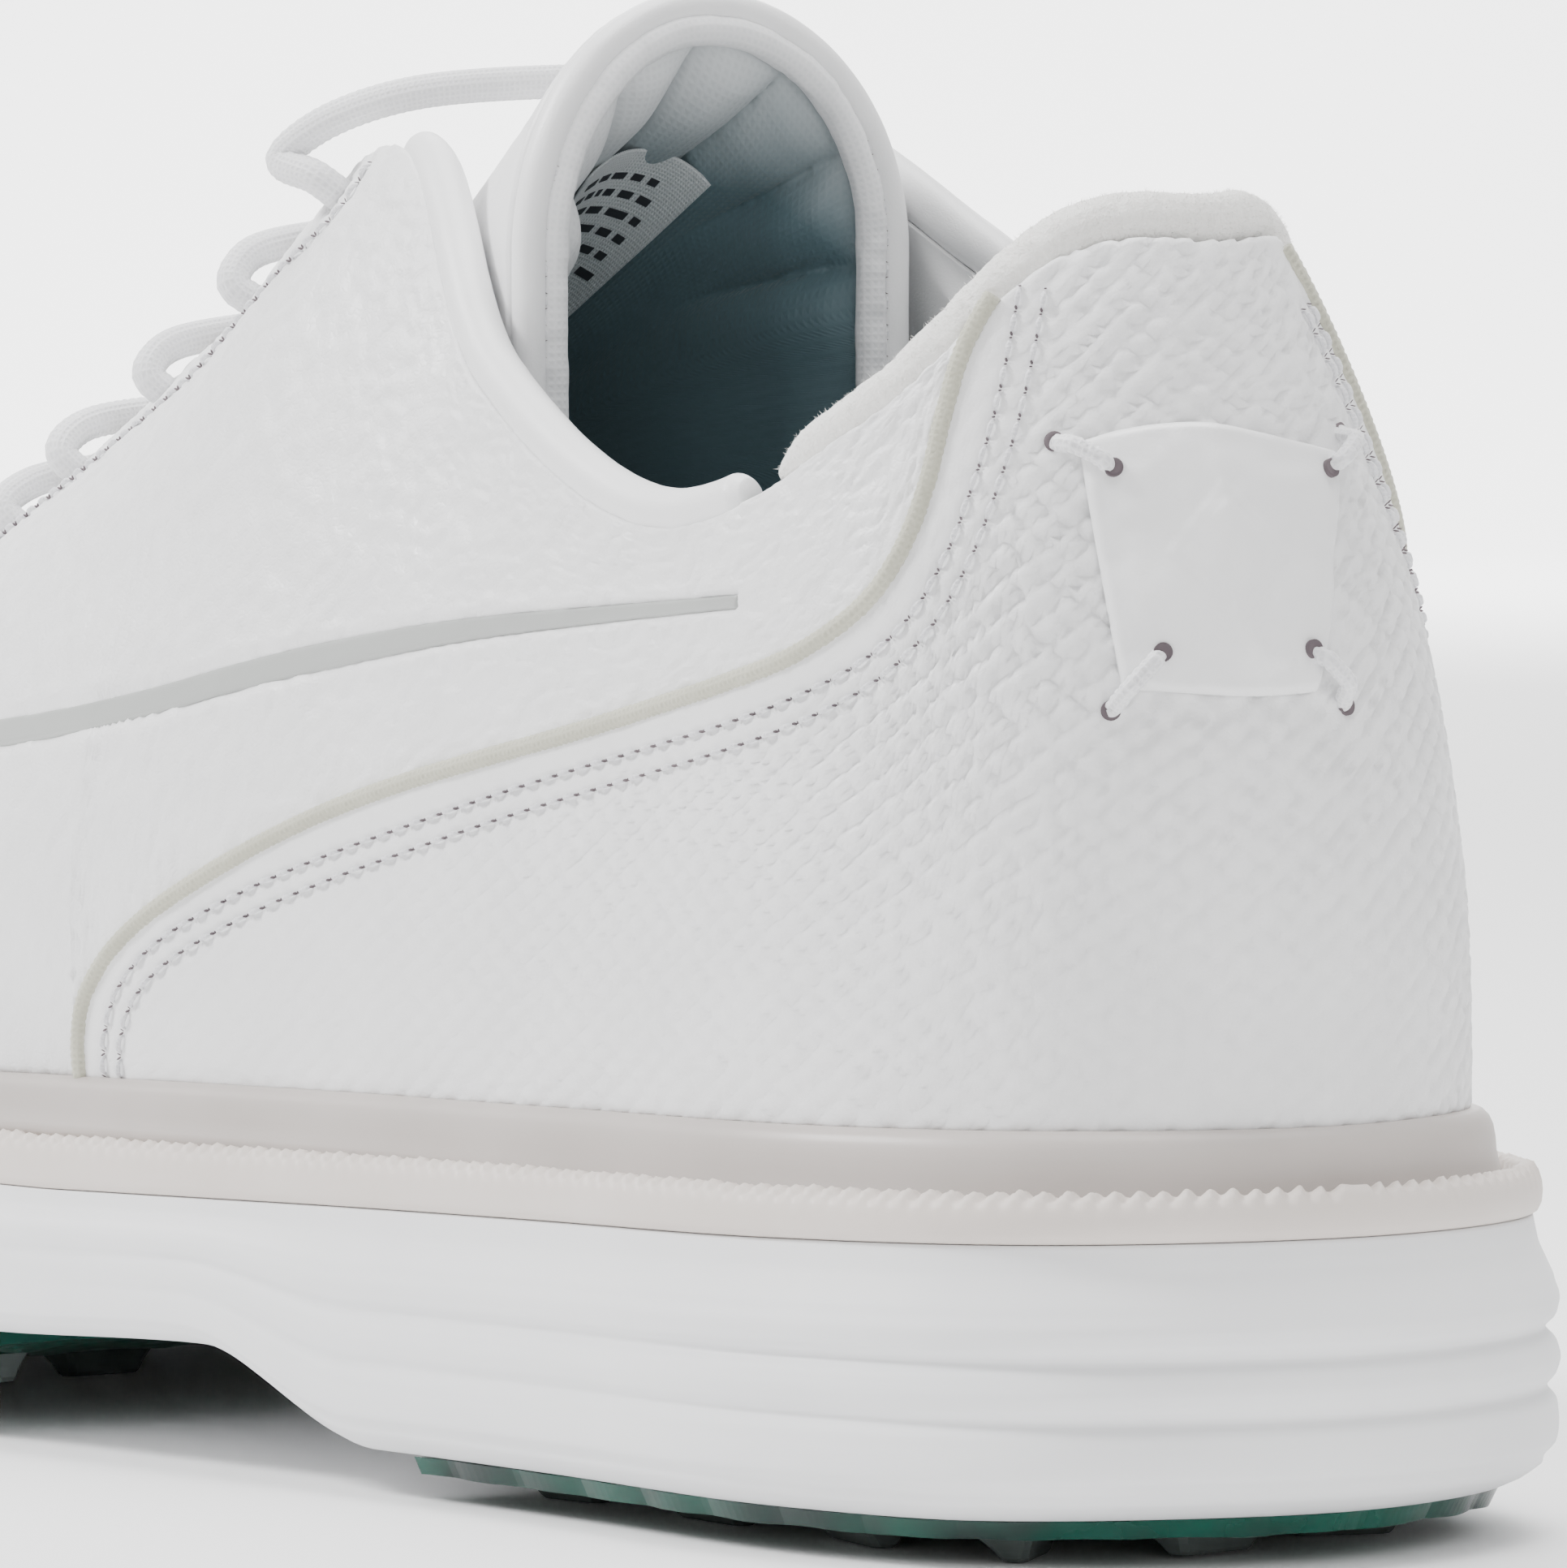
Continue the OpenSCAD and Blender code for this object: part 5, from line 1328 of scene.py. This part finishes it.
def tongue():
    def outer(q, s, x, y):
        return wrinkles(x, y, 61, size=2.2, amount=0.05)
    ob = tongue_layer("tongue_leather", 0, 1, 1, 170, 130, outer, 1.1, M["soft"])
    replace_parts(ob, "tongue_outer")
    pad = tongue_layer("tongue_padding", 0.16, 0.965, 0.86, 60, 40, 1.25,
                       lambda q, s, x, y: 1.15 + PAD - 2.2 * ease((q - 0.88) / 0.08), M["padding"])
    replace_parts(pad, "tongue_foam")

    def folds(q, s, x, y):
        slant = (s + 0.45 * (1 - q) + 0.02 * noise2(q * 9, s * 2, 70)) / 0.27
        lobe = np.abs(np.sin(math.pi * slant)) ** 0.6
        size = 1 + 0.35 * np.sin(4.1 * np.floor(slant) + 1.0)
        fade = ease((q - 0.74) / 0.2) * ease((1.0 - q) / 0.05) * ease((1.0 - np.abs(s)) / 0.2)
        pleat = 2.7 * size * (lobe - 0.35) * fade
        broad = 0.6 * noise2(s * 3.5, q * 4, 72) * ease((q - 0.3) / 0.3) * ease((1.0 - q) / 0.05)
        return 1.95 + PAD + pleat + broad - 1.9 * (1 - ease((1.0 - q) / 0.10))
    # The satin lining carries painted shade along the UV map set in tongue_layer.
    lin = tongue_layer("tongue_cloth", 0.12, 1, 1.2, 200, 220,
                       lambda q, s, x, y: 1.3 + PAD - 2.0 * ease((q - 0.86) / 0.08), folds, M["satin"],
                       edge=0.2)
    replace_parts(lin, "tongue_lining")
    pts, s = resample(edge_line(1.4, 1.0, 1.14), 0.4)
    thin = tapered(s, 0.5, 4)

    def radius(d, a):
        soft = 1 + 0.015 * noise2(d / 6, a * 1.2, 73) + 0.01 * noise2(d / 1.7, a * 3, 74)
        return 1.5 * soft * thin
    ob = tube("tongue_roll", pts, radius, M["soft"], "tongue", sides=32)
    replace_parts(solid(ob), "tongue_binding")
    pts, s = resample(edge_line(3.85, 0.5, 1.14), 0.3)
    thin_lip = tapered(s, 0.5, 4)

    def gathered(d, a):
        pucker = 0.05 * noise2(d / 1.1, a * 0.8, 75) + 0.07 * noise2(d / 4.0, a * 0.6, 76)
        return 1.4 * (1 + pucker) * thin_lip
    solid(tube("tongue_lip", pts, gathered, M["pale_satin"], "tongue", sides=32))
    seam = edge_line(2.65, 1.55, 1.0)
    back = np.tile([[1.0, 0, 0]], (len(seam), 1))
    stitches("tongue_thread", [(seam, back)], pitch=2.8, length=1.3, r=0.16, body="tongue", lift=0.05)
    lab = tongue_layer("tongue_tag", 0.68, 0.86, 0.34, 40, 40, TAG, TAG + 0.25, M["label"],
                       edge=0.1)
    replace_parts(lab, "tongue_label")
    marks()


def marks():
    """Rows of plain printed dashes on the size tag; they spell nothing."""
    rng = np.random.default_rng(8)
    V, F = [], []
    for q in np.linspace(0.718, 0.822, 6):
        s = -0.24
        while s < 0.2:
            w = rng.uniform(0.03, 0.1)
            qq, ss = np.array([q, q + 0.008, q + 0.008, q]), np.array([s, s, s + w, s + w])
            d = TAG + 0.26 + 0 * qq
            o = len(V) * 8
            V.append(np.concatenate([tongue_skin(qq, ss, d), tongue_skin(qq, ss, d + 0.05)]))
            F += [[o, o + 1, o + 2, o + 3], [o + 7, o + 6, o + 5, o + 4]]
            F += [[o + k, o + 4 + k, o + 4 + (k + 1) % 4, o + (k + 1) % 4] for k in range(4)]
            s += w + 0.03
    solid(add_mesh("tag_print", np.concatenate(V), F, M["print"], "tongue", smooth=False))


tongue()


# ---------------------------------------------------------------- hidden CAD parts keep their shape
def repaint(node, key):
    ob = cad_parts[node]
    ob.data.materials.clear()
    ob.data.materials.append(M[key])


for node, key in (("lasting_board", "board"), ("shank", "steel"), ("vamp_lining", "light_lining"),
                  ("toe_puff", "stiffener"), ("eyestay_lateral", "stiffener"),
                  ("eyestay_medial", "stiffener"), ("heel_counter", "stiffener")):
    repaint(node, key)


# ---------------------------------------------------------------- floor, light and camera
VIEW_TURN, VIEW_TILT = math.radians(35), math.radians(2.6)     # where the camera looks


def floor():
    """Pale floor that curves up into a far backdrop behind the shoe."""
    me = bpy.data.meshes.new("floor")
    turn = VIEW_TURN
    away = np.array([-math.cos(turn), math.sin(turn), 0])
    side = np.array([math.sin(turn), math.cos(turn), 0])
    ang = np.linspace(0, math.pi / 2, 13)
    run = [(-9.0, 0.0)] + [(3.4 + 1.2 * math.sin(a), 1.2 - 1.2 * math.cos(a)) for a in ang] + [(4.6, 6.0)]
    v = [away * x + side * y + np.array([0, 0, z]) for y in (-9.0, 9.0) for x, z in run]
    n = len(run)
    me.from_pydata([tuple(c) for c in v], [], [(i, i + n, i + n + 1, i + 1) for i in range(n - 1)])
    me.polygons.foreach_set("use_smooth", [True] * (n - 1))
    ob = bpy.data.objects.new("floor", me)
    bpy.context.scene.collection.objects.link(ob)
    m, t, b = new_material("pale_floor")
    at = add(t, "ShaderNodeTexCoord").outputs["Object"]
    c = mix_colour(t, noise(t, at, 3.0, 4.0), (0.90, 0.90, 0.90), (0.88, 0.88, 0.88))
    t.links.new(c, b.inputs["Base Color"])
    b.inputs["Roughness"].default_value = 0.8
    me.materials.append(m)


def area_light(name, at, target, size, power, colour=(1, 1, 1)):
    data = bpy.data.lights.new(name, "AREA")
    data.shape = "RECTANGLE"
    data.size, data.size_y = size
    data.energy = power
    data.color = colour
    ob = bpy.data.objects.new(name, data)
    bpy.context.scene.collection.objects.link(ob)
    ob.location = at
    ob.rotation_euler = (Vector(target) - Vector(at)).to_track_quat("-Z", "Y").to_euler()


def camera():
    turn, tilt = VIEW_TURN, VIEW_TILT
    forward = Vector((-math.cos(turn) * math.cos(tilt), math.sin(turn) * math.cos(tilt), -math.sin(tilt)))
    data = bpy.data.cameras.new("camera")
    data.sensor_width, data.lens = 36.0, 243.3
    data.clip_start, data.clip_end = 0.01, 60.0
    ob = bpy.data.objects.new("camera", data)
    bpy.context.scene.collection.objects.link(ob)
    ob.location = (0.8326, -0.5353, 0.1039)
    ob.rotation_euler = forward.to_track_quat("-Z", "Y").to_euler()
    bpy.context.scene.camera = ob


floor()
camera()
world = bpy.data.worlds.new("studio")
world.use_nodes = True
world.node_tree.nodes["Background"].inputs["Color"].default_value = (1, 1, 1, 1)
world.node_tree.nodes["Background"].inputs["Strength"].default_value = 0.62
bpy.context.scene.world = world
area_light("key", (-0.65, -1.0, 1.2), (0.02, 0, 0.06), (0.36, 0.36), 34)
area_light("top", (0.05, 0.15, 1.3), (0.0, 0, 0.05), (0.9, 0.9), 25)
area_light("fill", (1.3, -0.3, 0.5), (0.05, 0, 0.06), (0.8, 0.8), 4)
area_light("backdrop", (-2.3, 1.6, 1.7), (-3.8, 2.6, 0.7), (1.6, 1.6), 150)
area_light("backdrop_floor", (-1.9, 1.35, 1.5), (-1.9, 1.35, 0), (1.6, 1.6), 55)
